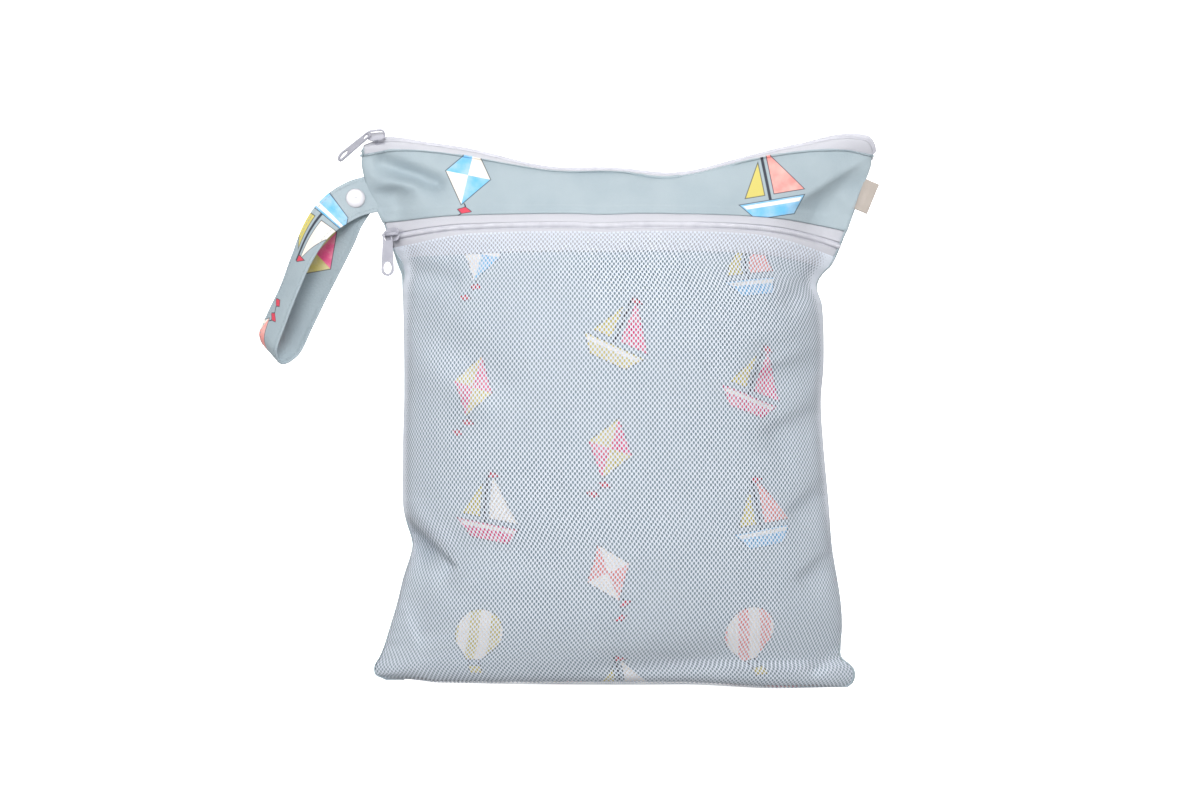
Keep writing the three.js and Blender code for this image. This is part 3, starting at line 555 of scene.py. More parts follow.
@dataclass
class Shape:
    """Vertices, faces and flat cloth coordinates of a surface being built."""

    points: Array
    faces: list[Array]
    flat: Array | None = None

    @staticmethod
    def grid(
        points: Array, flat: Array | None = None, round_rows: bool = False, flip: bool = False
    ) -> "Shape":
        """A sheet of four-sided faces over a grid of points.

        Args:
            points: rows by columns by three.
            flat: flat cloth coordinates, rows by columns by two.
            round_rows: whether each row closes on itself.
            flip: whether the faces turn over.

        Returns:
            The sheet.
        """
        rows, columns = points.shape[:2]
        index = np.arange(rows * columns).reshape(rows, columns)
        if round_rows:
            index = np.concatenate([index, index[:, :1]], axis=1)
        corners = (index[:-1, :-1], index[:-1, 1:], index[1:, 1:], index[1:, :-1])
        quads = np.stack(corners, axis=-1).reshape(-1, 4)
        if flip:
            quads = quads[:, ::-1]
        return Shape(points.reshape(-1, 3), [quads], None if flat is None else flat.reshape(-1, 2))

    @staticmethod
    def joined(shapes: Sequence["Shape"]) -> "Shape":
        """Several surfaces as one."""
        starts = np.cumsum([0] + [len(shape.points) for shape in shapes])
        faces = [face + start for shape, start in zip(shapes, starts) for face in shape.faces]
        flats = [
            np.zeros((len(shape.points), 2)) if shape.flat is None else shape.flat for shape in shapes
        ]
        return Shape(np.concatenate([shape.points for shape in shapes]), faces, np.concatenate(flats))

    def turns(self, block: Array) -> Array:
        """Twice the flat area of each face of a block: the sum of the turns of the face's edges."""
        corner = self.flat[block]
        after = np.roll(corner, -1, axis=1)
        turns = corner[..., 0] * after[..., 1] - corner[..., 1] * after[..., 0]
        return np.abs(turns.sum(axis=1))

    def flat_area(self) -> float:
        """Area of all faces laid out flat."""
        return sum(float(self.turns(block).sum()) / 2 for block in self.faces)

    def pruned(self, least: float = 1e-3) -> "Shape":
        """The shape without faces that have no flat area, and without points that no face uses."""
        kept = [block[self.turns(block) > least] for block in self.faces]
        used = np.unique(np.concatenate([block.ravel() for block in kept]))
        place = np.zeros(len(self.points), int)
        place[used] = np.arange(len(used))
        return Shape(self.points[used], [place[block] for block in kept], self.flat[used])

    def capped(self, rows: int, columns: int, flipped: bool = False) -> "Shape":
        """A tube of closed rows with a flat face over each end, turned over where the tube is."""
        first = np.arange(columns)[::-1]
        last = np.arange(columns) + (rows - 1) * columns
        if flipped:
            first, last = first[::-1], last[::-1]
        return Shape(self.points, [*self.faces, first[None, :], last[None, :]], self.flat)

    def placed(self, origin: Array, axes: Array) -> "Shape":
        """The shape moved from its own frame to one whose axes are the rows of a matrix."""
        return Shape(self.points @ axes + origin, self.faces, self.flat)

    def repeated(self, origins: Array, axes: Array) -> "Shape":
        """The shape set once in each of many frames, given by their origins and matrices of axis rows."""
        count = len(self.points)
        points = np.einsum("vk,nkd->nvd", self.points, axes) + origins[:, None, :]
        shifts = np.arange(len(origins))[:, None, None] * count
        faces = [(face[None] + shifts).reshape(-1, face.shape[1]) for face in self.faces]
        return Shape(points.reshape(-1, 3), faces)


@dataclass(frozen=True)
class Piece:
    """One shown piece: its name, the body it rides on, the nodes it stands for and its slot."""

    name: str
    nodes: tuple[str, ...]
    slot: Slot
    material: Material
    body: Body = Body.BAG

    def make(self, shape: Shape, thickness: float = 0.0, offset: float = -1.0) -> bpy.types.Object:
        """Args:
            shape: the surface in millimetres.
            thickness: cloth thickness to add, or 0 for none.
            offset: side that the thickness grows to, -1 inwards and 1 outwards.

        Returns:
            The object.
        """
        mesh = bpy.data.meshes.new(self.name)
        points = (shape.points + np.array([0.0, SEAM_Y, 0.0])) * MM
        faces = [row for block in shape.faces for row in block.tolist()]
        mesh.from_pydata(points.tolist(), [], faces)
        if shape.flat is not None:
            layer = mesh.attributes.new("flat", "FLOAT_VECTOR", "POINT")
            flat = np.concatenate([shape.flat, np.zeros((len(shape.flat), 1))], axis=1)
            layer.data.foreach_set("vector", flat.astype(np.float32).ravel())
        mesh.polygons.foreach_set("use_smooth", np.ones(len(mesh.polygons), bool))
        mesh.materials.append(self.material)
        mesh.update()
        obj = bpy.data.objects.new(self.name, mesh)
        bpy.context.scene.collection.objects.link(obj)
        if thickness > 0:
            solid = obj.modifiers.new("cloth thickness", "SOLIDIFY")
            solid.thickness = thickness * MM
            solid.offset = offset
            solid.use_even_offset = False
        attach(obj, self.body.value)
        if self.nodes:
            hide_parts(*self.nodes)
        LOG.info("%s: %d faces on %s", self.name, len(faces), self.body.value)
        return obj


@dataclass(frozen=True)
class Value:
    """A number inside a material, so that sums of nodes read like sums."""

    board: "NodeBoard"
    socket: Socket

    def __add__(self, other: "Value | float") -> "Value":
        """The sum."""
        return self.board.math("ADD", self, other)

    def __sub__(self, other: "Value | float") -> "Value":
        """The difference."""
        return self.board.math("SUBTRACT", self, other)

    def __rsub__(self, other: float) -> "Value":
        """The difference from a number."""
        return self.board.math("SUBTRACT", other, self)

    def __mul__(self, other: "Value | float") -> "Value":
        """The product."""
        return self.board.math("MULTIPLY", self, other)

    def __truediv__(self, other: float) -> "Value":
        """The quotient."""
        return self.board.math("DIVIDE", self, other)

    def __abs__(self) -> "Value":
        """The size without its sign."""
        return self.board.math("ABSOLUTE", self)

    def over(self, other: "Value | float") -> "Value":
        """The larger of two."""
        return self.board.math("MAXIMUM", self, other)

    def under(self, other: "Value | float") -> "Value":
        """The smaller of two."""
        return self.board.math("MINIMUM", self, other)

    def inside(self, edge: float) -> "Value":
        """1 where a distance is under 0, 0 outside, soft over an edge."""
        return self.board.ramp(self, edge / 2, -edge / 2)


class NodeBoard:
    """A material's nodes, built through short calls."""

    def __init__(self, name: str) -> None:
        """Starts an empty material."""
        self.material = bpy.data.materials.new(name)
        self.material.use_nodes = True
        self.tree = self.material.node_tree
        self.tree.nodes.clear()
        self.output = self.tree.nodes.new("ShaderNodeOutputMaterial")

    def node(self, kind: str, **settings: object) -> bpy.types.Node:
        """A new node with some of its settings."""
        made = self.tree.nodes.new(kind)
        for key, value in settings.items():
            setattr(made, key, value)
        return made

    def put(self, socket: Socket, value: object) -> None:
        """Sets a socket to a number, or links it to a value or another socket."""
        if isinstance(value, Value):
            self.tree.links.new(value.socket, socket)
        elif isinstance(value, Socket):
            self.tree.links.new(value, socket)
        else:
            socket.default_value = value

    def math(self, operation: str, *values: object) -> Value:
        """One sum."""
        made = self.node("ShaderNodeMath", operation=operation)
        for socket, value in zip(made.inputs, values):
            self.put(socket, value)
        return Value(self, made.outputs[0])

    def ramp(self, value: Value, low: float, high: float) -> Value:
        """A smooth change from 0 at low to 1 at high, in either order."""
        made = self.node("ShaderNodeMapRange", interpolation_type="SMOOTHSTEP")
        self.put(made.inputs["Value"], value)
        ends = (high, low, 1.0, 0.0) if high < low else (low, high, 0.0, 1.0)
        for name, end in zip(("From Min", "From Max", "To Min", "To Max"), ends):
            made.inputs[name].default_value = end
        return Value(self, made.outputs["Result"])

    def mix(self, share: object, first: object, second: object) -> Socket:
        """A colour between two."""
        made = self.node("ShaderNodeMix", data_type="RGBA")
        self.put(made.inputs[0], share)
        self.put(made.inputs[6], first)
        self.put(made.inputs[7], second)
        return made.outputs[2]

    def flat(self) -> tuple[Value, Value, Socket]:
        """The cloth's own flat coordinates: across, up and both."""
        made = self.node("ShaderNodeAttribute", attribute_name="flat")
        parts = self.node("ShaderNodeSeparateXYZ")
        self.put(parts.inputs[0], made.outputs["Vector"])
        return Value(self, parts.outputs[0]), Value(self, parts.outputs[1]), made.outputs["Vector"]

    def weave(self, x: Value, y: Value, across: float, up: float) -> Value:
        """Crossing threads: the product of two waves, with a pitch across and one up."""
        return self.math("SINE", x * (2 * math.pi / across)) * self.math("SINE", y * (2 * math.pi / up))

    def noise(self, vector: object, scale: float, detail: float = 3.0) -> Value:
        """Soft noise."""
        made = self.node("ShaderNodeTexNoise")
        self.put(made.inputs["Vector"], vector)
        made.inputs["Scale"].default_value = scale
        made.inputs["Detail"].default_value = detail
        return Value(self, made.outputs[0])

    def place(self) -> Socket:
        """The object's coordinates."""
        return self.node("ShaderNodeTexCoord").outputs["Object"]

    def finish(
        self, colour: object, roughness: object, height: Value | None, bump: float, **extra: object
    ) -> None:
        """Ends the material in one principled surface.

        Args:
            colour: a colour or its socket.
            roughness: a number or its value.
            height: relief in metres, or None.
            bump: strength of the relief.
            extra: other sockets by name.
        """
        shader = self.node("ShaderNodeBsdfPrincipled")
        self.put(shader.inputs["Base Color"], colour)
        self.put(shader.inputs["Roughness"], roughness)
        for name, value in extra.items():
            self.put(shader.inputs[name.replace("_", " ")], value)
        if height is not None:
            relief = self.node("ShaderNodeBump")
            relief.inputs["Strength"].default_value = bump
            relief.inputs["Distance"].default_value = 1.0
            self.put(relief.inputs["Height"], height)
            self.put(shader.inputs["Normal"], relief.outputs[0])
        self.tree.links.new(shader.outputs[0], self.output.inputs["Surface"])


Colour = tuple[float, float, float, float]


def srgb(red: int, green: int, blue: int) -> Colour:
    """A screen colour as linear light."""
    parts = [part / 255 for part in (red, green, blue)]
    line = [part / 12.92 if part <= 0.04045 else ((part + 0.055) / 1.055) ** 2.4 for part in parts]
    return (line[0], line[1], line[2], 1.0)


class Ink(Enum):
    """Colours of the print."""

    PINK = srgb(236, 70, 136)
    SALMON = srgb(243, 146, 140)
    CREAM = srgb(244, 236, 226)
    SKY = srgb(96, 186, 234)
    MUSTARD = srgb(214, 200, 108)
    CHARCOAL = srgb(52, 56, 68)
    RED = srgb(218, 66, 88)


@dataclass(frozen=True)
class Motif:
    """What a motif is drawn with: nodes, the colour under it, millimetres from its middle and two inks."""

    board: NodeBoard
    under: object
    x: Value
    y: Value
    main: object
    second: object


@dataclass(frozen=True)
class PrintCloth:
    """Coated plain-weave cloth, pale blue, with small toys printed in half-drop rows."""

    name: str = "printed cloth"
    ground: Colour = srgb(166, 180, 187)
    deep: Colour = srgb(159, 174, 182)
    roughness: float = 0.58
    sheen: float = 0.15
    sheen_roughness: float = 0.4
    bump: float = 0.6
    thread: float = 0.55
    thread_relief: float = 0.00003
    slub_scale: float = 0.6
    slub_relief: float = 0.0004
    mottle_scale: float = 0.035
    mottle_span: Span = (0.35, 0.7)
    wash: float = 0.35
    wash_scale: float = 0.11
    wash_span: Span = (0.25, 0.75)
    cell_width: float = 92.0
    cell_height: float = 80.0
    stagger: float = 0.5
    scatter: float = 12.0
    lean: float = 0.9
    seed: float = 3.7
    balloon_from: float = 0.36
    kite_from: float = 0.7
    edge: float = 0.4
    line: float = 0.28
    line_strength: float = 0.85

    def build(self) -> Material:
        """The cloth's material: weave relief, mottled ground, then the motifs."""
        board = NodeBoard(self.name)
        x, y, flat = board.flat()
        mottle = board.ramp(board.noise(flat, self.mottle_scale, 4.0), *self.mottle_span)
        ground = board.mix(mottle, self.ground, self.deep)
        column = board.math("FLOOR", x / self.cell_width)
        lifted = y / self.cell_height + board.math("MODULO", abs(column), 2.0) * self.stagger
        row = board.math("FLOOR", lifted)
        turn, tint, kind = self.dice(board, column, row)
        lx = (x / self.cell_width - column - 0.5) * self.cell_width + (kind - 0.5) * self.scatter
        ly = (lifted - row - 0.5) * self.cell_height + (tint - 0.5) * self.scatter
        angle = (turn - 0.5) * self.lean
        cosine, sine = board.math("COSINE", angle), board.math("SINE", angle)
        lx, ly = lx * cosine - ly * sine, lx * sine + ly * cosine
        wash = board.ramp(board.noise(flat, self.wash_scale, 5.0), *self.wash_span) * self.wash
        main = self.pick(board, tint, (Ink.PINK, Ink.SKY, Ink.SALMON, Ink.MUSTARD))
        second = self.pick(board, turn, (Ink.CREAM, Ink.SALMON, Ink.CREAM, Ink.PINK))
        main, second = (board.mix(wash, ink, Ink.CREAM.value) for ink in (main, second))
        motif = Motif(board, ground, lx, ly, main, second)
        boat, balloon, kite = self.boat(motif), self.balloon(motif), self.kite(motif)
        colour = board.mix(board.math("GREATER_THAN", kind, self.balloon_from), boat, balloon)
        colour = board.mix(board.math("GREATER_THAN", kind, self.kite_from), colour, kite)
        weave = board.weave(x, y, self.thread, self.thread) * self.thread_relief
        slub = board.noise(flat, self.slub_scale, 5.0) * self.slub_relief
        sheen = {"Sheen_Weight": self.sheen, "Sheen_Roughness": self.sheen_roughness}
        board.finish(colour, self.roughness, weave + slub, self.bump, **sheen)
        return board.material

    def dice(self, board: NodeBoard, column: Value, row: Value) -> tuple[Value, ...]:
        """Three random numbers from 0 to 1 for each cell of the print."""
        seed = board.node("ShaderNodeCombineXYZ")
        board.put(seed.inputs[0], column)
        board.put(seed.inputs[1], row)
        board.put(seed.inputs[2], self.seed)
        dice = board.node("ShaderNodeTexWhiteNoise", noise_dimensions="3D")
        board.put(dice.inputs["Vector"], seed.outputs[0])
        parts = board.node("ShaderNodeSeparateColor")
        board.put(parts.inputs[0], dice.outputs["Color"])
        return tuple(Value(board, parts.outputs[i]) for i in range(3))

    @staticmethod
    def pick(board: NodeBoard, dice: Value, inks: Sequence[Ink]) -> Socket:
        """One of several inks, by a number from 0 to 1."""
        made = board.node("ShaderNodeValToRGB")
        made.color_ramp.interpolation = "CONSTANT"
        board.put(made.inputs[0], dice)
        for i, ink in enumerate(inks):
            stops = made.color_ramp.elements
            stop = stops[i] if i < len(stops) else stops.new(i / len(inks))
            stop.position = i / len(inks)
            stop.color = ink.value
        return made.outputs[0]

    def fill(self, board: NodeBoard, under: object, distance: Value, ink: object) -> Socket:
        """A filled form with a thin dark line round it."""
        inner = board.mix(distance.inside(self.edge), under, ink)
        line = (abs(distance) - self.line).inside(self.edge) * self.line_strength
        return board.mix(line, inner, Ink.CHARCOAL.value)

    def boat(self, motif: Motif) -> Socket:
        """A sailing boat: a hull that narrows downwards, a mast, two sails and a pennant."""
        board, x, y = motif.board, motif.x, motif.y
        hull = (abs(y + 15.0) - 5.5).over((abs(x) - 17.0 - (y + 15.0) * 0.8) * 0.78)
        stripe = (abs(y + 12.0) - 1.2).over(hull + 1.0)
        mast = (abs(x + 1.0) - 0.7).over(abs(y - 6.5) - 17.0)
        sail = (2.0 - x).over(-6.0 - y).over((x - 2.0) * 0.82 + (y + 6.0) * 0.57 - 16.4)
        jib = (x + 4.0).over(-6.0 - y).over((x + 4.0) * -0.86 + (y + 6.0) * 0.5 - 11.0)
        flag = (abs(y - 22.0) - 2.2 + abs(x - 0.5) * 0.3).over(abs(x - 4.0) - 4.6)
        colour = self.fill(board, motif.under, mast, Ink.CHARCOAL.value)
        colour = self.fill(board, colour, hull, motif.main)
        colour = board.mix(stripe.inside(self.edge), colour, Ink.CREAM.value)
        colour = self.fill(board, colour, sail, motif.second)
        colour = self.fill(board, colour, jib, Ink.MUSTARD.value)
        return self.fill(board, colour, flag, Ink.RED.value)

    def balloon(self, motif: Motif) -> Socket:
        """A hot-air balloon: a striped ball drawn in towards its foot, ropes and a basket."""
        board, x, y = motif.board, motif.x, motif.y
        away = board.math("SQRT", x * x + (y - 7.0) * (y - 7.0))
        ball = (away - 17.0).under((abs(x) - 10.5 - (y + 7.0) * 0.8).over(abs(y + 7.0) - 6.5))
        gore = board.ramp(board.math("SINE", x * 0.42), -0.15, 0.15)
        basket = (abs(x) - 4.2).over(abs(y + 22.0) - 3.2)
        rope = (abs(abs(x) - 3.6) - 0.35).over(abs(y + 16.0) - 3.5)
        colour = self.fill(board, motif.under, rope, Ink.CHARCOAL.value)
        colour = self.fill(board, colour, ball, board.mix(gore, motif.main, motif.second))
        return self.fill(board, colour, basket, Ink.MUSTARD.value)

    def kite(self, motif: Motif) -> Socket:
        """A kite: a four-part diamond, a waving tail and two bows on it."""
        board, x, y = motif.board, motif.x, motif.y
        body = abs(x) * 0.78 + abs(y - 7.0) * 0.58 - 11.5
        halves = board.math("GREATER_THAN", x * (y - 7.0), 0.0)
        off = abs(x - board.math("SINE", y * 0.32) * 3.2)
        tail = (off - 0.5).over(abs(y + 19.0) - 7.5)
        bow = (off * 0.5 + abs(abs(y + 20.0) - 4.0) - 2.4).over(off - 4.4)
        colour = board.mix(tail.inside(self.edge), motif.under, Ink.CHARCOAL.value)
        colour = self.fill(board, colour, bow, Ink.RED.value)
        return self.fill(board, colour, body, board.mix(halves, motif.main, motif.second))


@dataclass(frozen=True)
class Yarn:
    """A plain textile: knitted net, woven tape or ribbon."""

    name: str
    light: Colour
    dark: Colour
    roughness: float
    pitch_across: float
    pitch_up: float
    relief: float
    sheen: float = 0.1
    sheen_roughness: float = 0.5
    bump: float = 0.6
    shade: float = 0.35
    shade_scale: float = 0.05
    shade_span: Span = (0.25, 0.75)
    painted_rib_shade: float = 0.5
    fuzz_scale: float = 2.5
    fuzz_relief: float = 0.0002

    def build(self) -> Material:
        """The textile's material: a fine rib both ways, painted shade darkening the rib's hollows, and a
        slight random change of tone.
        """
        board = NodeBoard(self.name)
        x, y, flat = board.flat()
        shade = board.ramp(board.noise(flat, self.shade_scale, 2.0), *self.shade_span)
        weave = board.weave(x, y, self.pitch_across, self.pitch_up)
        # The weave's low parts take the darker colour: painted shade in the hollows of the rib.
        share = shade * self.shade + board.ramp(weave, 1.0, -1.0) * self.painted_rib_shade
        colour = board.mix(share, self.light, self.dark)
        fuzz = board.noise(flat, self.fuzz_scale, 4.0) * self.fuzz_relief
        height = weave * (self.relief * MM) + fuzz
        sheen = {"Sheen_Weight": self.sheen, "Sheen_Roughness": self.sheen_roughness}
        board.finish(colour, self.roughness, height, self.bump, **sheen)
        return board.material


@dataclass(frozen=True)
class Enamel:
    """A hard, smooth finish: painted metal or moulded plastic, with faint scuffs."""

    name: str
    light: Colour
    dark: Colour
    roughness: float
    metallic: float = 0.0
    coat: float = 0.0
    cloud_scale: float = 160.0
    cloud_span: Span = (0.3, 0.7)
    scuff: float = 0.22
    scuff_scale: float = 900.0
    polish: float = 0.1
    ripple_scale: float = 420.0
    ripple_relief: float = 0.00004
    bump: float = 0.5

    def build(self) -> Material:
        """The finish's material: a clouded colour, scuffs in the gloss and a slight ripple."""
        board = NodeBoard(self.name)
        place = board.place()
        cloud = board.ramp(board.noise(place, self.cloud_scale, 4.0), *self.cloud_span)
        gloss = board.noise(place, self.scuff_scale, 5.0) * self.scuff + (self.roughness - self.polish)
        ripple = board.noise(place, self.ripple_scale, 2.0) * self.ripple_relief
        colour = board.mix(cloud, self.light, self.dark)
        board.finish(colour, gloss, ripple, self.bump, Metallic=self.metallic, Coat_Weight=self.coat)
        return board.material


NET_YARN = Yarn("net yarn", srgb(221, 227, 237), srgb(212, 219, 230), 0.78, 0.5, 0.5, 0.05, 0.2)
TAPE_WEAVE = Yarn("zip tape weave", srgb(202, 202, 209), srgb(193, 194, 202), 0.8, 0.9, 0.6, 0.06, 0.2)
COIL_NYLON = Enamel("coil nylon", srgb(206, 206, 214), srgb(196, 196, 205), 0.45)
LABEL_RIBBON = Yarn("label ribbon", srgb(187, 177, 169), srgb(175, 165, 156), 0.72, 0.5, 0.4, 0.05)
THREAD = Yarn("sewing thread", srgb(168, 183, 190), srgb(161, 176, 184), 0.7, 0.3, 0.3, 0.03)
WHITE_METAL = Enamel("white enamelled metal", srgb(178, 178, 188), srgb(167, 167, 178), 0.42, 0.0, 0.1)
SNAP_RESIN = Enamel("snap plastic", srgb(200, 199, 205), srgb(191, 191, 198), 0.3, 0.0, 0.2)


PRINT_CLOTH = PrintCloth()
# The inner panel's cloth is a darker copy of the printed cloth: its colour paints the shade that the net casts
# on it.
SHADED_CLOTH = PrintCloth("printed cloth darkened as painted net shade", srgb(151, 168, 178), srgb(144, 162, 173))
FABRICS = (PRINT_CLOTH, SHADED_CLOTH, NET_YARN, TAPE_WEAVE)
FINISHES = (*FABRICS, COIL_NYLON, LABEL_RIBBON, THREAD, WHITE_METAL, SNAP_RESIN)


@dataclass(frozen=True)
class Kit:
    """The materials, each made once, in the order of the finishes."""

    cloth: Material
    shaded_cloth: Material
    net: Material
    tape: Material
    coil: Material
    label: Material
    thread: Material
    metal: Material
    snap: Material

    @staticmethod
    def build() -> "Kit":
        """Makes all of them."""
        return Kit(*(finish.build() for finish in FINISHES))


@dataclass(frozen=True)
class Skins:
    """The bag's two walls, sampled once and shared by all that is sewn to them."""

    form: BagForm
    front: Patch
    back: Patch

    @staticmethod
    def build(step: float = 1.0) -> "Skins":
        """Samples both walls, with a step of length between two rows."""
        form = BagForm()

        def rows(side: Side) -> Array:
            """Row lengths of a wall."""
            total = form.total(side)
            return np.linspace(0, total, int(total / step) + 1)

        front = Patch(partial(form.skin, Side.FRONT), rows(Side.FRONT))
        back = Patch(partial(form.skin, Side.BACK), rows(Side.BACK), outward=-1.0)
        return Skins(form, front, back)


@dataclass(frozen=True)
class ZipLines:
    """Lengths up the front wall where the pocket zip's parts meet."""

    middle: float
    coil_half: float = 1.8
    lower_tape: float = 3.0
    upper_tape: float = 7.7

    @property
    def low(self) -> float:
        """Lower edge of the lower tape."""
        return self.middle - self.coil_half - self.lower_tape

    @property
    def high(self) -> float:
        """Upper edge of the upper tape."""
        return self.middle + self.coil_half + self.upper_tape


def cloth_grid(patch: Patch, x: Array, length: Array, lift: Array, flip: bool = False) -> Shape:
    """A sheet of cloth lying on a patch.

    Args:
        patch: the skin.
        x: flat distances across, one for each column.
        length: flat lengths up, one for each row.
        lift: distance out of the skin, a number or rows by columns.
        flip: whether the faces turn over.

    Returns:
        The sheet with its flat coordinates.
    """
    xs, ls = np.meshgrid(x, length)
    return Shape.grid(patch.at(xs, ls, lift + 0 * xs), np.stack([xs, ls], axis=-1), flip=flip)


@dataclass(frozen=True)
class Stitching:
    """Rows of machine stitches, each a short swollen thread lying along its row."""

    length: float = 2.2
    pitch: float = 2.9
    radius: float = 0.2
    girths: tuple[float, ...] = (0.25, 0.85, 1.0, 0.85, 0.25)
    sides: int = 6
    pressed: float = 0.8
    look_ahead: float = 0.4

    def stitch(self) -> Shape:
        """One stitch along x: rings of points, thin at both ends."""
        along = np.linspace(-0.5, 0.5, len(self.girths)) * self.length
        girth = self.radius * np.array(self.girths)
        turn = round_turn(self.sides)
        y = girth[:, None] * np.cos(turn)
        z = girth[:, None] * np.sin(turn) * self.pressed
        points = np.stack([along[:, None] + 0 * y, y, z], axis=-1)
        return Shape.grid(points, round_rows=True).capped(len(self.girths), self.sides)

    def along(self, line: Array, normal: Array) -> Shape:
        """Stitches set along a line.

        Args:
            line: points of the line, closer together than a stitch.
            normal: outward direction at each point.

        Returns:
            All the stitches.
        """
        walked = walked_along(line)
        at = np.arange(self.pitch / 2, walked[-1] - self.pitch / 2, self.pitch)

        def read(values: Array, places: Array) -> Array:
            """Values along the line at some lengths."""
            return np.stack([np.interp(places, walked, values[:, k]) for k in range(3)], axis=1)

        middle = read(line, at)
        ahead = unit(read(line, at + self.look_ahead) - read(line, at - self.look_ahead))
        out = unit(read(normal, at))
        side = unit(np.cross(out, ahead))
        axes = np.stack([ahead, side, np.cross(ahead, side)], axis=1)
        return self.stitch().repeated(middle, axes)

    def on_patch(self, patch: Patch, x: Array, length: Array, lift: float) -> Shape:
        """Stitches along a line of flat cloth coordinates."""
        point, normal = patch.frame(x, length)
        return self.along(point + normal * lift, normal)


DROOP_SPAN: Span = (0.55, 0.95)


@dataclass(frozen=True)
class NetLattice:
    """Knitted net: rows of six-sided holes, every second row shifted by half a hole.

    Yarn between two holes that face each other is one four-sided face, and three of them meet in a knot. The
    holes close towards the side seams, above a height.
    """

    pitch_across: float = 2.9
    pitch_up: float = 3.5
    hole_width: float = 1.5
    hole_height: float = 2.0
    flat_share: float = 0.5
    seam_span: Span = (4.0, 20.0)
    seam_height_span: Span = (96.0, 122.0)
    seam_closing: float = 0.94

    def build(
        self,
        patch: Patch,
        x_range: Pair,
        l_range: Pair,
        lift: float,
        droop: float = 0.0,
    ) -> Shape:
        """The net over a rectangle of flat cloth.

        Args:
            patch: the skin that the net lies on.
            x_range: flat limits across.
            l_range: flat limits up.
            lift: distance out of the skin.
            droop: how much lower the upper edge is at both sides than in the middle.

        Returns:
            The net as one open sheet.
        """
        x_low, x_high = x_range[0] - self.pitch_across, x_range[1] + self.pitch_across
        l_low, l_high = l_range[0] - self.pitch_up, l_range[1] + self.pitch_up
        columns = int((x_high - x_low) / self.pitch_across)
        rows = int((l_high - l_low) / (self.pitch_up / 2))
        i, j = np.meshgrid(np.arange(columns), np.arange(rows))
        step_x = (x_high - x_low) / (columns + 0.5)
        step_l = (l_high - l_low) / rows
        centre_x = x_low + (i + 0.5 + 0.5 * (j % 2)) * step_x
        centre_l = l_low + (j + 0.5) * step_l
        half_w, half_h = self.hole_width / 2, self.hole_height / 2
        flat_w = half_w * self.flat_share
        upper = [(-half_w, 0), (-flat_w, half_h), (flat_w, half_h)]
        corners = np.array(upper + [(-w, -h) for w, h in upper])
        from_seam = patch.width / 2 - np.abs(centre_x)
        height = patch.at(centre_x, centre_l)[..., 2]
        beside = 1 - smoothstep(from_seam, *self.seam_span)
        closed = beside * smoothstep(height, *self.seam_height_span)
        opening = (1 - self.seam_closing * closed)[..., None]
        xs = np.clip(centre_x[..., None] + corners[:, 0] * opening, *x_range)
        ls = np.clip(centre_l[..., None] + corners[:, 1] * opening, *l_range)
        ls = ls * (1 - droop / l_range[1] * smoothstep(np.abs(xs) / x_range[1], *DROOP_SPAN))
        points = patch.at(xs, ls, lift)
        index = np.arange(rows * columns * 6).reshape(rows, columns, 6)
        left, up_left, up_right, right, low_right, low_left = (index[..., k] for k in range(6))
        faces: list[Array] = []

        def add(*corners: tuple[Array, tuple[Array, ...]]) -> None:
            """Adds a block of faces; a corner is one of the holes' corners and the holes it belongs to."""
            block = np.stack([corner[holes] for corner, holes in corners], axis=-1)
            faces.append(block.reshape(-1, len(corners)))

        for shift in (0, 1):
            own = np.arange(shift, rows - 1, 2)
            span = np.arange(0, columns - shift)
            a, b = np.ix_(own, span), np.ix_(own + 1, span + shift)
            add((right, a), (low_left, b), (left, b), (up_right, a))
            span = np.arange(1 - shift, columns)
            a, b = np.ix_(own, span), np.ix_(own + 1, span - 1 + shift)
            add((left, a), (up_left, a), (right, b), (low_right, b))
            own = np.arange(shift, rows - 2, 2)
            span = np.arange(columns)
            a, c = np.ix_(own, span), np.ix_(own + 2, span)
            add((up_left, a), (up_right, a), (low_right, c), (low_left, c))
            span = np.arange(0, columns - shift)
            a, b, c = np.ix_(own, span), np.ix_(own + 1, span + shift), np.ix_(own + 2, span)
            add((up_right, a), (left, b), (low_right, c))
            span = np.arange(1 - shift, columns)
            a, b, c = np.ix_(own, span), np.ix_(own + 1, span - 1 + shift), np.ix_(own + 2, span)
            add((up_left, a), (low_left, c), (right, b))
        return Shape(points.reshape(-1, 3), faces, np.stack([xs, ls], axis=-1).reshape(-1, 2)).pruned()


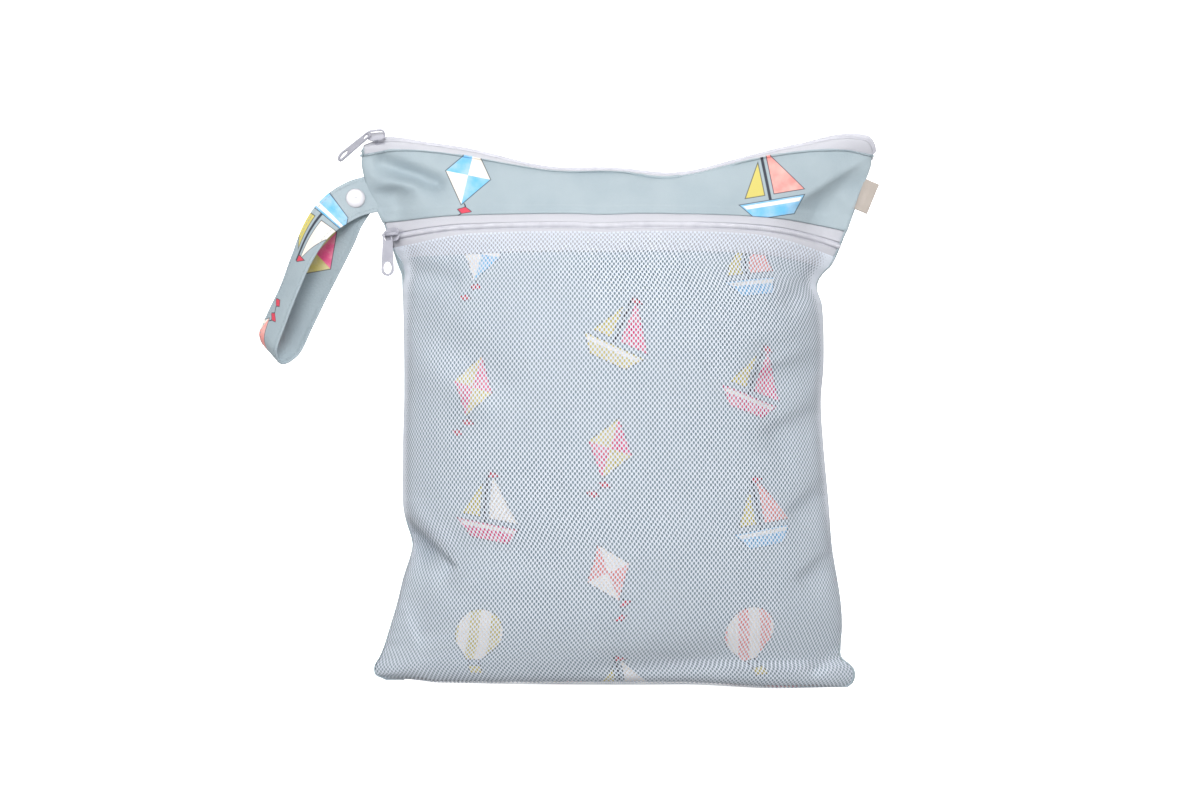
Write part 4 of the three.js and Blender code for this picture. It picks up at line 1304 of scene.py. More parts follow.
@dataclass(frozen=True)
class Walls:
    """The cloth panels and the net pocket."""

    skins: Skins
    lines: ZipLines
    kit: Kit
    cloth: float = 0.7
    crowding: float = 1.25
    roll_end: float = 44.0
    roll_step: float = 2.0
    roll_rows: int = 26
    panel_columns: int = 150
    strip_columns: int = 220
    strip_rows: int = 64
    stitch_samples: int = 700
    pocket_gap: float = 1.8
    zip_gap: float = 3.6
    gap_opens: Pair = (60.0, 8.0)
    gap_closes: Pair = (5.0, 1.0)
    inner_above: float = 3.0
    inner_reach: float = 0.994
    inner_sink: float = 0.4
    inner_print: Pair = (46.0, 14.0)
    strip_print: Pair = (46.0, 2.0)
    strip_under: float = 0.6
    strip_lift: float = 0.1
    hem: float = 6.0
    hem_thick: float = 0.55
    hem_step: Pair = (-0.8, 0.6)
    lip_width: float = 0.9
    lip_drops: Pair = (-0.5, -0.12)
    net_hem: float = 14.0
    net_inset: float = 0.2
    net_start: float = 0.4
    net_fold: float = 0.3
    net_seam: float = 10.8
    net_droop: float = 3.0
    seam_low: float = 118.0
    net_lift: float = -0.2
    seam_inset: float = 0.8
    seam_half: float = 1.5
    seam_start: float = 0.02
    seam_rows: int = 160
    seam_columns: int = 9
    seam_narrow_span: Span = (0.86, 0.97)
    seam_under: float = 0.4
    seam_print: float = -20.0
    zip_ends: Pair = (0.99, 0.9985)
    lattice: NetLattice = NetLattice()
    hem_lattice: NetLattice = NetLattice(2.8, 3.38, 1.36, 1.78)
    stitching: Stitching = Stitching()

    def build(self) -> None:
        """Makes all the walls."""
        self.back_panel()
        self.inner_panel()
        self.upper_strip()
        self.net()
        self.side_seams()

    def columns(self, patch: Patch, count: int) -> Array:
        """Flat distances across a whole patch, closer together towards both seams."""
        return crowded(count, self.crowding) * patch.width / 2

    def rows(self, top: float, count: int) -> Array:
        """Lengths up a wall, closer together round its rolled bottom edge."""
        roll = np.linspace(0, self.roll_end, self.roll_rows)
        return np.concatenate([roll, np.linspace(self.roll_end + self.roll_step, top, count)])

    def panel(self, piece: Piece, shape: Shape, size: Pair) -> None:
        obj = piece.make(shape, self.cloth)
        size[0] * MM
        size[1] * MM

    def back_panel(self) -> None:
        """The back wall, from the bottom seam to the top zip."""
        patch = self.skins.back
        total = patch.lengths[-1]
        columns = self.columns(patch, self.panel_columns)
        shape = cloth_grid(patch, columns, self.rows(total, 150), 0.0, flip=True)
        piece = Piece("back_panel_cloth", ("back_panel",), Slot.PRINT, self.kit.cloth)
        self.panel(piece, shape, (patch.width, total))

    def gap(self, length: Array) -> Array:
        """How far the panel between the compartments stands behind the net: further behind the zip."""
        lines = self.lines
        opens, closes = self.gap_opens, self.gap_closes
        behind = smoothstep(length, lines.low - opens[0], lines.low - opens[1])
        past = smoothstep(length, lines.middle + closes[0], lines.high + closes[1])
        return lerp(self.pocket_gap, self.zip_gap, behind * (1 - past))

    def inner_panel(self) -> None:
        """The printed panel between the compartments, seen through the net, in the darker cloth whose colour
        paints the net's shade on it.
        """
        patch = self.skins.front
        top = self.lines.high + self.inner_above
        rows = self.rows(top, 140)
        x = self.columns(patch, self.panel_columns) * self.inner_reach
        edge = 1 - np.abs(x / (patch.width / 2)) ** 24
        lift = -self.gap(rows)[:, None] * (0.35 + 0.65 * edge[None, :]) - self.inner_sink
        shape = cloth_grid(patch, x, rows, lift)
        shape.flat = shape.flat + np.array(self.inner_print)
        piece = Piece("inner_panel_cloth", ("inner_panel",), Slot.PRINT, self.kit.shaded_cloth)
        self.panel(piece, shape, (patch.width, top))

    def upper_strip(self) -> None:
        """The printed strip between the zips, turned under along both edges and sewn down."""
        patch = self.skins.front
        low, high = self.lines.high - self.strip_under, patch.lengths[-1]
        rows = np.linspace(low, high, self.strip_rows)
        from_edge = np.minimum(rows - low, high - rows)
        doubled = 1 - smoothstep(from_edge, self.hem + self.hem_step[0], self.hem + self.hem_step[1])
        fold = self.hem_thick * doubled
        lip = np.where(rows - low < self.hem, *self.lip_drops)
        lip = lip * (1 - smoothstep(from_edge, 0.0, self.lip_width))
        lift = (fold + lip + self.strip_lift)[:, None]
        shape = cloth_grid(patch, self.columns(patch, self.strip_columns), rows, lift)
        shape.flat = shape.points[:, [0, 2]] + np.array(self.strip_print)
        piece = Piece("upper_strip_cloth", ("upper_strip",), Slot.PRINT, self.kit.cloth)
        self.panel(piece, shape, (patch.width, high - low))
        x = np.linspace(-0.494, 0.494, self.stitch_samples) * patch.width
        seam = self.stitching.on_patch(patch, x, x * 0 + high - 2.4, 0.75)
        Piece("strip_stitches", (), Slot.PRINT, self.kit.thread).make(Shape.joined([seam]))

    def side_seams(self) -> None:
        """Narrow bindings inside both side seams, which widen at the top and close the ends of the zip.

        Each is a ruled strip between the edges of the two walls, moved in from them and spread to both
        sides. Its last row follows the arch of the zip's end.
        """
        share = np.linspace(self.seam_start, 1.0, self.seam_rows)
        t = np.linspace(0.0, 1.0, self.seam_columns)
        spread = self.seam_half * (1 - smoothstep(share, *self.seam_narrow_span))
        for name, edge, inward, end in (
            ("left_side_seam", 0, 1.0, -self.zip_ends[0]),
            ("right_side_seam", -1, -1.0, self.zip_ends[1]),
        ):
            front, back = self.skins.front.edge(edge, share), self.skins.back.edge(edge, share)
            points = lerp(front[:, None], back[:, None], t[None, :, None])
            points[..., 0] += inward * self.seam_inset
            points[..., 1] += spread[:, None] * (2 * t - 1)[None, :]
            arch = self.skins.form.top_zip(np.full(len(t), end), 2 * t - 1)
            shift = np.array([inward * self.seam_inset, 0.0, -self.seam_under])
            points = np.concatenate([points, arch[None] + shift])
            walked = walked_along(points[:, self.seam_columns // 2])
            flat = np.stack(np.broadcast_arrays(points[..., 1] + self.seam_print, walked[:, None]), axis=-1)
            Piece(name, (), Slot.PRINT, self.kit.cloth).make(Shape.grid(points, flat), self.cloth)

    def net(self) -> None:
        """The pocket's net, sewn to the zip's lower tape and doubled along its side seams."""
        patch = self.skins.front
        half = patch.width / 2 - self.net_inset
        low, top = self.net_start, self.lines.low
        shape = self.lattice.build(patch, (-half, half), (low, top), self.net_lift, self.net_droop)
        made = Piece("pocket_net", ("mesh_pocket",), Slot.NET, self.kit.net).make(shape)
        self.declare_net(shape, (2 * half, top - low))
        seam_top = top - self.net_hem
        for name, across in (
            ("pocket_net_left_seam", (-half + self.net_fold, -half + self.net_seam)),
            ("pocket_net_right_seam", (half - self.net_seam, half - self.net_fold)),
        ):
            shape = self.hem_lattice.build(patch, across, (self.seam_low, seam_top), self.net_lift - 0.5)
            made = Piece(name, (), Slot.NET, self.kit.net).make(shape)
            size = (self.net_seam - self.net_fold, seam_top - self.seam_low)
            self.declare_net(shape, size)
        x = np.linspace(-0.49, 0.49, self.stitch_samples) * patch.width
        droop = self.net_droop * smoothstep(np.abs(x) / half, *DROOP_SPAN)
        seam = self.stitching.on_patch(patch, x, top - droop - 1.2, self.net_lift + 0.1)
        Piece("net_hem_stitches", (), Slot.NET, self.kit.net).make(seam)

    def declare_net(
        self, shape: Shape, flat: Pair
    ) -> None:
        """Reckons a sheet of net's flat size and the area of its yarn; neither is kept."""
        size = (flat[0] * MM, flat[1] * MM)
        shape.flat_area() * MM * MM


@dataclass(frozen=True)
class Coil:
    """A closed zip coil: a narrow round ridge of close loops."""

    half: float = 1.8
    reach: float = 2.5
    height: float = 1.9
    groove: float = 0.5
    groove_at: float = 0.2
    groove_width: float = 0.3
    pitch: float = 1.35
    slant: float = 0.5
    loop_depth: float = 0.05
    per_loop: int = 6
    across: int = 25

    def relief(self, walked: Array, w: Array) -> Array:
        """Height over the tape: one round back, cut into slanting loops, with a groove along each side."""
        back = np.sqrt(np.maximum(1 - (w / self.half) ** 2, 0.0))
        loop = 1 - self.loop_depth * (1 - np.cos(2 * math.pi * (walked + self.slant * w) / self.pitch))
        beside = bell(np.abs(w) - self.half, self.groove_at, self.groove_width)
        return self.height * back * loop - self.groove * beside

    def steps(self, long: float) -> Array:
        """Lengths along the zip at which the coil is sampled."""
        return np.linspace(0, long, int(long / self.pitch * self.per_loop))

    def widths(self) -> Array:
        """Distances across the coil at which it is sampled."""
        return np.linspace(-self.reach, self.reach, self.across)


@dataclass(frozen=True)
class PocketZip:
    """Tapes and coil of the zip across the front."""

    skins: Skins
    lines: ZipLines
    kit: Kit
    reach: float = 0.997
    coil_start: float = -0.962
    coil_end: float = 0.993
    tape: float = 0.5
    sewn_under: float = 13.2
    set_back: float = 3.0
    lower_overlap: float = 0.1
    upper_clear: float = 0.25
    upper_under: float = 4.4
    tape_sink: float = 0.5
    coil_sink: float = 0.45
    columns: int = 260
    rows: int = 16
    coil: Coil = Coil()

    def build(self) -> None:
        """Makes the tapes and the coil; the lower tape reaches down behind the net that is sewn to it."""
        patch = self.skins.front
        lines = self.lines
        half = patch.width / 2
        x = np.linspace(-self.reach, self.reach, self.columns) * half
        lower_edge = lines.middle - self.coil.reach + self.lower_overlap
        upper_edge = lines.middle + self.coil.reach + self.upper_clear
        spans = (
            ("pocket_tape_lower_weave", "pocket_tape_lower", lines.low - self.sewn_under, lower_edge),
            ("pocket_tape_upper_weave", "pocket_tape_upper", upper_edge, lines.high + self.upper_under),
        )
        for name, node, low, high in spans:
            rows = np.linspace(low, high, self.rows)
            back = self.set_back * np.clip((lines.low - rows) / self.sewn_under, 0.0, 1.0)
            shape = cloth_grid(patch, x, rows, -self.tape_sink - back[:, None])
            obj = Piece(name, (node,), Slot.TAPE, self.kit.tape).make(shape, self.tape)
            flat = (2 * half * self.reach * MM, (high - low) * MM)
        start, end = self.coil_start * half, self.coil_end * half
        walked = self.coil.steps(end - start)
        w, s = np.meshgrid(self.coil.widths(), walked)
        points = patch.at(start + s, lines.middle + w, self.coil.relief(s, w) - self.coil_sink)
        shape = Shape.grid(points, np.stack([s, w], axis=-1), flip=True)
        Piece("pocket_coil_loops", ("pocket_coil",), Slot.COIL, self.kit.coil).make(shape)


@dataclass(frozen=True)
class TopZip:
    """Tapes and coil of the zip across the top."""

    skins: Skins
    kit: Kit
    reach: float = 0.99
    right_reach: float = 0.9995
    coil_start: float = -0.945
    tape: float = 0.5
    least_tape: float = 10.2
    sewn_under: float = 3.2
    under_lean: float = 0.8
    crowding: float = 1.35
    columns: int = 280
    rows: int = 12
    middle_row: int = 8
    end_span: Span = (-0.004, 0.012)
    coil_clear: float = 0.1
    widest_clear: float = 0.9
    tape_sink: float = 0.2
    coil_sink: float = 0.1
    coil: Coil = Coil()

    def band(self, u: Array, share: Array) -> tuple[Array, Array]:
        """Points and outward normals of the band across the top."""
        form = self.skins.form
        step = 1e-3
        along = form.top_zip(u + step, share) - form.top_zip(u - step, share)
        across = form.top_zip(u, share + step) - form.top_zip(u, share - step)
        return form.top_zip(u, share), unit(np.cross(along, across))

    def build(self) -> None:
        """Makes the tapes and the coil."""
        u = crowded(self.columns, self.crowding)
        u = np.where(u < 0, u * self.reach, u * self.right_reach)
        self.make_tape("top_tape_front_weave", "top_tape_front", Side.FRONT, u)
        self.make_tape("top_tape_back_weave", "top_tape_back", Side.BACK, u)
        self.make_coil()

    def make_tape(self, name: str, node: str, side: Side, u: Array) -> None:
        """One tape: from the coil to its panel's edge, and on under that panel.

        Args:
            name: name of the piece.
            node: the node it stands for.
            side: which side of the coil it lies on.
            u: shares across the bag, one for each column.
        """
        back = side is Side.BACK
        t = np.linspace(0.0, 1.0, self.rows)[:, None]
        start, full = (self.coil_start + step for step in self.end_span)
        clear = self.coil.reach * smoothstep(u, start, full) + self.coil_clear
        inner = np.minimum(clear / self.skins.form.spread(u), self.widest_clear)[None, :]
        share = side.value * (lerp(inner, 1.0, t) if back else lerp(1.0, inner, t))
        points, normals = self.band(u[None, :] + 0 * share, share)
        points = points - normals * self.tape_sink
        way = np.array([0.0, -self.under_lean * side.value, -1.0])
        under = np.linspace(1.0, 0.25, 4)[:, None, None] * way * self.sewn_under
        hidden = points[-1 if back else 0][None] + (under[::-1] if back else under)
        points = np.concatenate([points, hidden] if back else [hidden, points])
        walked = walked_along(points[self.middle_row])
        steps = np.linalg.norm(np.diff(points, axis=0), axis=2)
        across = np.concatenate([np.zeros((1, len(u))), np.cumsum(steps, axis=0)])
        shape = Shape.grid(points, np.stack([walked[None, :] + 0 * across, across], axis=-1))
        obj = Piece(name, (node,), Slot.TAPE, self.kit.tape).make(shape, self.tape)
        width = max(float(np.mean(across[-1])), self.least_tape)
        flat = (walked[-1] * MM, width * MM)

    def make_coil(self) -> None:
        """The coil along the middle of the band."""
        fine = np.linspace(self.coil_start, self.right_reach, 900)
        middle, _ = self.band(fine, 0 * fine)
        walked = walked_along(middle)
        w, s = np.meshgrid(self.coil.widths(), self.coil.steps(walked[-1]))
        at = np.interp(s, walked, fine)
        points, normals = self.band(at, w / self.skins.form.spread(at))
        points = points + normals * (self.coil.relief(s, w) - self.coil_sink)[..., None]
        shape = Shape.grid(points, np.stack([s, w], axis=-1), flip=True)
        Piece("top_coil_loops", ("top_coil",), Slot.COIL, self.kit.coil).make(shape)


def outline_plate(outlines: Sequence[Array], thick: float, round_edge: float) -> Shape:
    """A flat plate with holes and rounded edges.

    Args:
        outlines: closed outlines in the plate's plane; the first is the rim, the others are holes.
        thick: whole thickness, set half to each side of the plane.
        round_edge: radius of the rounded edges.

    Returns:
        The plate as a closed surface.
    """
    curve = bpy.data.curves.new("outline", "CURVE")
    curve.dimensions = "2D"
    curve.fill_mode = "BOTH"
    curve.extrude = thick / 2 - round_edge
    curve.bevel_depth = round_edge
    curve.bevel_resolution = 2
    curve.offset = -round_edge
    for outline in outlines:
        spline = curve.splines.new("POLY")
        spline.points.add(len(outline) - 1)
        flat = np.concatenate([outline, np.zeros((len(outline), 1)), np.ones((len(outline), 1))], axis=1)
        spline.points.foreach_set("co", flat.ravel())
        spline.use_cyclic_u = True
    holder = bpy.data.objects.new("outline", curve)
    mesh = holder.to_mesh()
    points = np.zeros(len(mesh.vertices) * 3)
    mesh.vertices.foreach_get("co", points)
    faces = [np.array([list(face.vertices)]) for face in mesh.polygons]
    holder.to_mesh_clear()
    bpy.data.objects.remove(holder)
    bpy.data.curves.remove(curve)
    return Shape(points.reshape(-1, 3), faces)


def rounded_box(half_x: float, half_y: float, radius: float, centre: Pair = (0, 0)) -> Array:
    """A rectangle's outline with round corners."""
    turn = np.linspace(0, math.pi / 2, 9)
    corners = []
    for k, (sx, sy) in enumerate(((1, 1), (-1, 1), (-1, -1), (1, -1))):
        x = sx * (half_x - radius) + radius * np.cos(turn + k * math.pi / 2)
        y = sy * (half_y - radius) + radius * np.sin(turn + k * math.pi / 2)
        corners.append(np.stack([x, y], axis=1))
    return np.concatenate(corners) + np.array(centre)


def swept_bar(path: Array, half_width: float, half_thick: float, across: Array, sides: int = 16) -> Shape:
    """A bar with a boxy oval section carried along a path in a plane square to `across`."""
    ahead = unit(np.gradient(path, axis=0))
    out = unit(np.cross(ahead, across[None, :]))
    turn = round_turn(sides)
    c = squared_off(np.cos(turn), 0.6) * half_width
    s = squared_off(np.sin(turn), 0.6) * half_thick
    points = path[:, None, :] + across[None, None, :] * c[None, :, None] + out[:, None, :] * s[None, :, None]
    return Shape.grid(points, round_rows=True, flip=True).capped(len(path), sides, flipped=True)


@dataclass(frozen=True)
class Sliders:
    """The two sliders and the pulls that hang on them.

    The plates and the neck are given by half length, half width and corner radius.
    """

    skins: Skins
    lines: ZipLines
    kit: Kit
    plate: float = 1.1
    channel: float = 1.95
    upper_plate: Triple = (5.75, 4.4, 3.5)
    upper_round: float = 0.35
    lower_plate: Triple = (3.7, 2.4, 1.6)
    lower_round: float = 0.3
    lower_ahead: float = -2.05
    lower_rise: float = 0.2
    neck: Triple = (0.9, 1.2, 0.5)
    neck_round: float = 0.1
    neck_ahead: float = 0.4
    bridge_height: float = 4.1
    bridge_length: float = 11.5
    bridge_half_width: float = 0.9
    bridge_thick: float = 1.0
    bridge_sink: float = 0.3
    bridge_powers: Pair = (0.42, 0.55)
    arc_steps: int = 25
    pocket_u: float = -0.965
    pocket_step: float = 0.02
    pocket_span: float = 10.0
    pocket_pivot: Triple = (-144.754, -11.157, 289.108)
    pocket_facing: float = math.radians(12)
    top_pivot: Triple = (-156.091, -7.964, 353.843)
    top_axis: Triple = (-0.05717, 0.78931, 0.61133)
    top_seat: float = 1.1
    top_drop: float = math.radians(38)
    top_twist: float = math.radians(5)
    pull_length: float = 29.4
    pull_thick: float = 1.3
    pull_round: float = 0.16
    pull_narrow: float = 2.95
    pull_wide: float = 4.05
    eye_top: float = 1.4
    eye_half: float = 1.95
    eye_round: float = 1.1
    eye_length: float = 5.4
    finger_half: Pair = (2.5, 3.75)
    finger_rise: float = 5.3
    pocket_head: float = 1.4
    top_head: float = 0.8

    def build(self) -> None:
        """Makes both sliders and both pulls."""
        self.pocket()
        self.top()

    def slider(self) -> Shape:
        """A slider in its own frame: two rounded plates, a neck between them and a bridge for the pull."""
        face = self.channel + self.plate
        upper = outline_plate([rounded_box(*self.upper_plate)], self.plate, self.upper_round)
        upper = upper.placed(np.array([0, 0, self.channel + self.plate / 2]), np.eye(3))
        lower = outline_plate([rounded_box(*self.lower_plate)], self.plate, self.lower_round)
        sunk = -self.channel - self.plate / 2 + self.lower_rise
        lower = lower.placed(np.array([self.lower_ahead, 0, sunk]), np.eye(3))
        neck = outline_plate([rounded_box(*self.neck)], 2 * self.channel + 1.0, self.neck_round)
        neck = neck.placed(np.array([self.neck_ahead, 0, 0]), np.eye(3))
        half = self.bridge_length / 2 - self.bridge_thick / 2
        foot = face - self.bridge_sink
        top = face + self.bridge_height
        t = np.linspace(0, math.pi, self.arc_steps)
        x = -half * squared_off(np.cos(t), self.bridge_powers[0])
        z = foot + (top - foot) * np.sin(t) ** self.bridge_powers[1]
        path = np.stack([x, 0 * x, z], axis=1)
        bridge = swept_bar(path, self.bridge_half_width, self.bridge_thick / 2, BACKWARD)
        return Shape.joined([upper, lower, neck, bridge])

    def pull(self, head: float) -> Shape:
        """A drop-shaped pull in its own frame: an eye under a bar of some width, and a hole at its end."""
        top = self.eye_top + head
        end = top - self.pull_length
        narrow, wide = self.pull_narrow, self.pull_wide
        turn = np.linspace(0, math.pi, self.arc_steps)
        crown = np.stack([narrow * np.cos(turn), top - narrow + narrow * np.sin(turn)], axis=1)
        tail = np.stack([-wide * np.cos(turn), end + wide - wide * np.sin(turn)], axis=1)
        half_eye = self.eye_length / 2
        eye = rounded_box(self.eye_half, half_eye, self.eye_round, (0, self.eye_top - half_eye))
        ring = round_turn(40)
        across, up = self.finger_half
        finger = np.stack([across * np.cos(ring), end + self.finger_rise + up * np.sin(ring)], axis=1)
        outlines = [np.concatenate([crown, tail]), eye, finger]
        return outline_plate(outlines, self.pull_thick, self.pull_round)

    def pocket_axes(self) -> Array:
        """Axes of the pocket zip's slider: along the zip to the left, across it and out of the cloth."""

        def point(u: float, share: float) -> Array:
            """A point of the pocket zip's surface."""
            length = np.array(self.lines.middle + share * self.pocket_span)
            return self.skins.form.skin(Side.FRONT, np.array(u), length)

        step = self.pocket_step
        along = unit(point(self.pocket_u - step, 0.0) - point(self.pocket_u + step, 0.0))
        over = point(self.pocket_u, step) - point(self.pocket_u, -step)
        out = unit(np.cross(over, along))
        return np.stack([along, unit(np.cross(out, along)), out])

    def pocket(self) -> None:
        """The pocket zip's slider, and its pull hanging straight down."""
        axes = self.pocket_axes()
        pivot = np.array(self.pocket_pivot)
        origin = pivot - axes[2] * (self.channel + self.plate + self.bridge_height)
        slider = Piece("pocket_slider_body", ("pocket_slider",), Slot.METAL, self.kit.metal)
        slider.make(self.slider().placed(origin, axes))
        facing = np.array([math.sin(self.pocket_facing), -math.cos(self.pocket_facing), 0.0])
        axes = np.stack([np.cross(UP, facing), UP, facing])
        pull = Piece("pocket_pull_tab", ("pocket_pull",), Slot.METAL, self.kit.metal, Body.POCKET_PULL)
        pull.make(self.pull(self.pocket_head).placed(pivot, axes))

    def top(self) -> None:
        """The top zip's slider, and its pull dropping past the end of the zip."""
        axis = np.array(self.top_axis)
        along = unit(np.array([-axis[2], 0.0, axis[0]]))
        facing = np.cross(axis, along)
        pivot = np.array(self.top_pivot)
        out = self.channel + self.plate + self.bridge_height - self.bridge_thick / 2 - self.top_seat
        ahead = self.bridge_length / 2 - self.bridge_thick - self.top_seat
        origin = pivot - along * ahead - facing * out
        slider = Piece("top_slider_body", ("top_slider",), Slot.METAL, self.kit.metal)
        slider.make(self.slider().placed(origin, np.stack([along, -axis, facing])))
        up = facing * math.sin(self.top_drop) - along * math.cos(self.top_drop)
        side = -axis * math.cos(self.top_twist) - np.cross(up, axis) * math.sin(self.top_twist)
        axes = np.stack([side, up, np.cross(side, up)])
        pull = Piece("top_pull_tab", ("top_pull",), Slot.METAL, self.kit.metal, Body.TOP_PULL)
        eye_bar = pivot - up * (self.eye_top + self.top_head / 2)
        pull.make(self.pull(self.top_head).placed(eye_bar, axes))


STRAP_STATIONS = (
    (-152.6, 0.3, 316.2, 0.44, 0.0, -0.9),
    (-166.0, -0.8, 312.6, 0.4, -0.06, -0.92),
    (-179.2, -2.2, 304.6, 0.44, -0.3, -0.85),
    (-190.0, -4.2, 293.0, 0.53, -0.58, -0.6),
    (-199.6, -6.0, 274.6, 0.52, -0.77, -0.36),
    (-208.0, -6.6, 254.0, 0.5, -0.82, -0.28),
    (-216.2, -6.0, 235.0, 0.52, -0.76, -0.38),
    (-221.6, -3.6, 220.5, 0.52, -0.68, -0.52),
    (-219.0, 1.6, 213.5, 0.56, -0.6, -0.56),
    (-212.0, 5.6, 218.0, 0.7, -0.46, -0.52),
    (-204.6, 7.8, 234.0, 0.82, -0.34, -0.42),
    (-196.0, 8.2, 252.4, 0.86, -0.3, -0.4),
    (-186.0, 7.8, 272.0, 0.82, -0.3, -0.46),
    (-177.4, 6.6, 289.0, 0.66, -0.24, -0.7),
    (-172.2, 5.4, 301.5, 0.5, -0.12, -0.86),
    (-164.8, 5.2, 313.2, 0.4, -0.06, -0.91),
)


STUD_PROFILE = ((4.6, 0), (4.6, 0.9), (3.6, 1.1), (3.6, 1.9), (4.2, 2.1), (4.2, 3.4), (0.4, 3.4))


def smooth_line(stations: Array, share: Array) -> Array:
    """A smooth line through stations, each piece paced by the root of its length.

    Args:
        stations: points the line passes through, in order.
        share: places along it, from 0 at the first station to 1 at the last.

    Returns:
        Points of the line.
    """
    first = 2 * stations[:1] - stations[1:2]
    last = 2 * stations[-1:] - stations[-2:-1]
    padded = np.concatenate([first, stations, last])
    place = np.clip(share, 0, 1) * (len(stations) - 1)
    i = np.minimum(place.astype(int), len(stations) - 2)
    t = (place - i)[:, None]
    p0, p1, p2, p3 = (padded[i + k] for k in range(4))

    def pace(a: Array, b: Array) -> Array:
        """Root of the distance between two points."""
        return np.maximum(np.sqrt(np.linalg.norm(b - a, axis=1)), 1e-4)[:, None]

    d0, d1, d2 = pace(p0, p1), pace(p1, p2), pace(p2, p3)
    m1 = ((p1 - p0) / d0 - (p2 - p0) / (d0 + d1) + (p2 - p1) / d1) * d1
    m2 = ((p2 - p1) / d1 - (p3 - p1) / (d1 + d2) + (p3 - p2) / d2) * d1
    return p1 + m1 * t + (3 * (p2 - p1) - 2 * m1 - m2) * t**2 + (2 * (p1 - p2) + m1 + m2) * t**3


@dataclass(frozen=True)
class Strap:
    """The carrying strap, its snap and its stitching."""

    kit: Kit
    width: float = 24.0
    thick: float = 2.0
    steps: int = 260
    around: int = 44
    snap_radius: float = 6.2
    snap_height: float = 1.5
    front_station: float = 1.0
    back_station: float = 14.66
    side_power: float = 0.5
    face_power: float = 0.35
    edge_thick: float = 0.72
    edge_gain: float = 0.28
    edge_span: Span = (0.16, 0.5)
    welt: Swell = Swell(0.06, 0.05, 0.1)
    ripple: float = 0.25
    ripple_share: float = 0.6
    print_at: Pair = (52.0, -4.0)
    stitch_inset: float = 2.4
    stitch_lift: float = 0.42
    rim: float = 0.5
    shoulder: float = 0.98
    dimple: Swell = Swell(0.0, 0.1, 0.12)
    stitching: Stitching = Stitching()

    def frames(self, share: Array) -> tuple[Array, Array, Array, Array]:
        """Middle, along, across and face directions at places along the strap."""
        stations = np.array(STRAP_STATIONS)
        middle = smooth_line(stations[:, :3], share)
        step = 1e-4
        ahead, behind = (smooth_line(stations[:, :3], share + move) for move in (step, -step))
        along = unit(ahead - behind)
        across = smooth_line(stations[:, 3:], share)
        across = unit(across - along * np.sum(across * along, axis=1, keepdims=True))
        return middle, along, across, unit(np.cross(across, along))

    def build(self) -> None:
        """Makes the strap, its stitches and its snap."""
        share = np.linspace(0, 1, self.steps)
        middle, _, across, face = self.frames(share)
        walked = walked_along(middle)
        turn = round_turn(self.around)
        w = squared_off(np.cos(turn), self.side_power) * self.width / 2
        edge = 1 - np.abs(w) / (self.width / 2)
        swell = self.edge_thick + self.edge_gain * smoothstep(edge, *self.edge_span) + self.welt.at(edge)
        h = squared_off(np.sin(turn), self.face_power) * self.thick / 2 * swell
        ripple = self.ripple * np.sin(walked / 5.3 + 0.8 * np.sin(walked / 9.0))
        rise = h[None, :] + ripple[:, None] * edge[None, :] * self.ripple_share
        points = middle[:, None, :] + across[:, None, :] * w[None, :, None]
        points = points + face[:, None, :] * rise[..., None]
        flat = np.stack(np.broadcast_arrays(w[None, :], walked[:, None]), axis=-1) + np.array(self.print_at)
        shape = Shape.grid(points, flat, round_rows=True).capped(self.steps, self.around)
        Piece("strap_ribbon", ("strap",), Slot.PRINT, self.kit.cloth).make(shape)
        rows = []
        for side in (-1, 1):
            for sign in (-1, 1):
                line = middle + across * side * (self.width / 2 - self.stitch_inset)
                line = line + face * sign * (self.thick * self.stitch_lift)
                rows.append(self.stitching.along(line, face * sign))
        Piece("strap_stitches", (), Slot.PRINT, self.kit.thread).make(Shape.joined(rows))
        self.snap()

    def turned(self, profile: Array, sides: int = 56) -> Shape:
        """A profile of radius and height turned about z."""
        turn = round_turn(sides)
        r, z = profile[:, 0][:, None], profile[:, 1][:, None]
        points = np.stack([r * np.cos(turn), r * np.sin(turn), z + 0 * turn], axis=-1)
        return Shape.grid(points, round_rows=True).capped(len(profile), sides)

    def cap(self) -> Shape:
        """The snap's cap: a flat underside, a round rim and a faint dimple."""
        r, h, rim = self.snap_radius, self.snap_height, self.rim
        turn = np.linspace(-math.pi / 2, math.pi / 2 - 0.5, 9)
        edge = np.stack([r - rim + rim * np.cos(turn), rim + rim * np.sin(turn)], axis=1)
        share = np.linspace(0.9, 0.02, 26)
        dome = self.shoulder + (h - self.shoulder) * np.sqrt(1 - share**2)
        dimple = self.dimple.at(share)
        top = np.stack([share * r, dome - dimple], axis=1)
        return self.turned(np.concatenate([edge, top]))

    def snap(self) -> None:
        """The snap through both runs of the strap: two caps, and a stud and socket between them."""
        last = len(STRAP_STATIONS) - 1
        stand = self.thick / 2 + 0.05
        for name, node, station, side in (
            ("snap_front_cap", "snap_cap", self.front_station, -1),
            ("snap_rear_cap", "snap_back_cap", self.back_station, 1),
        ):
            middle, _, across, face = (part[0] for part in self.frames(np.array([station / last])))
            out = face if face[1] * side > 0 else -face
            axes = np.stack([np.cross(-across, out), -across, out])
            cap = Piece(name, (node,), Slot.SNAP, self.kit.snap)
            cap.make(self.cap().placed(middle + out * stand, axes))
            if side < 0:
                core = Piece("snap_stud", ("snap_core",), Slot.SNAP, self.kit.snap)
                back = np.stack([axes[0], -axes[1], -axes[2]])
                core.make(self.turned(np.array(STUD_PROFILE)).placed(middle - out * stand, back))


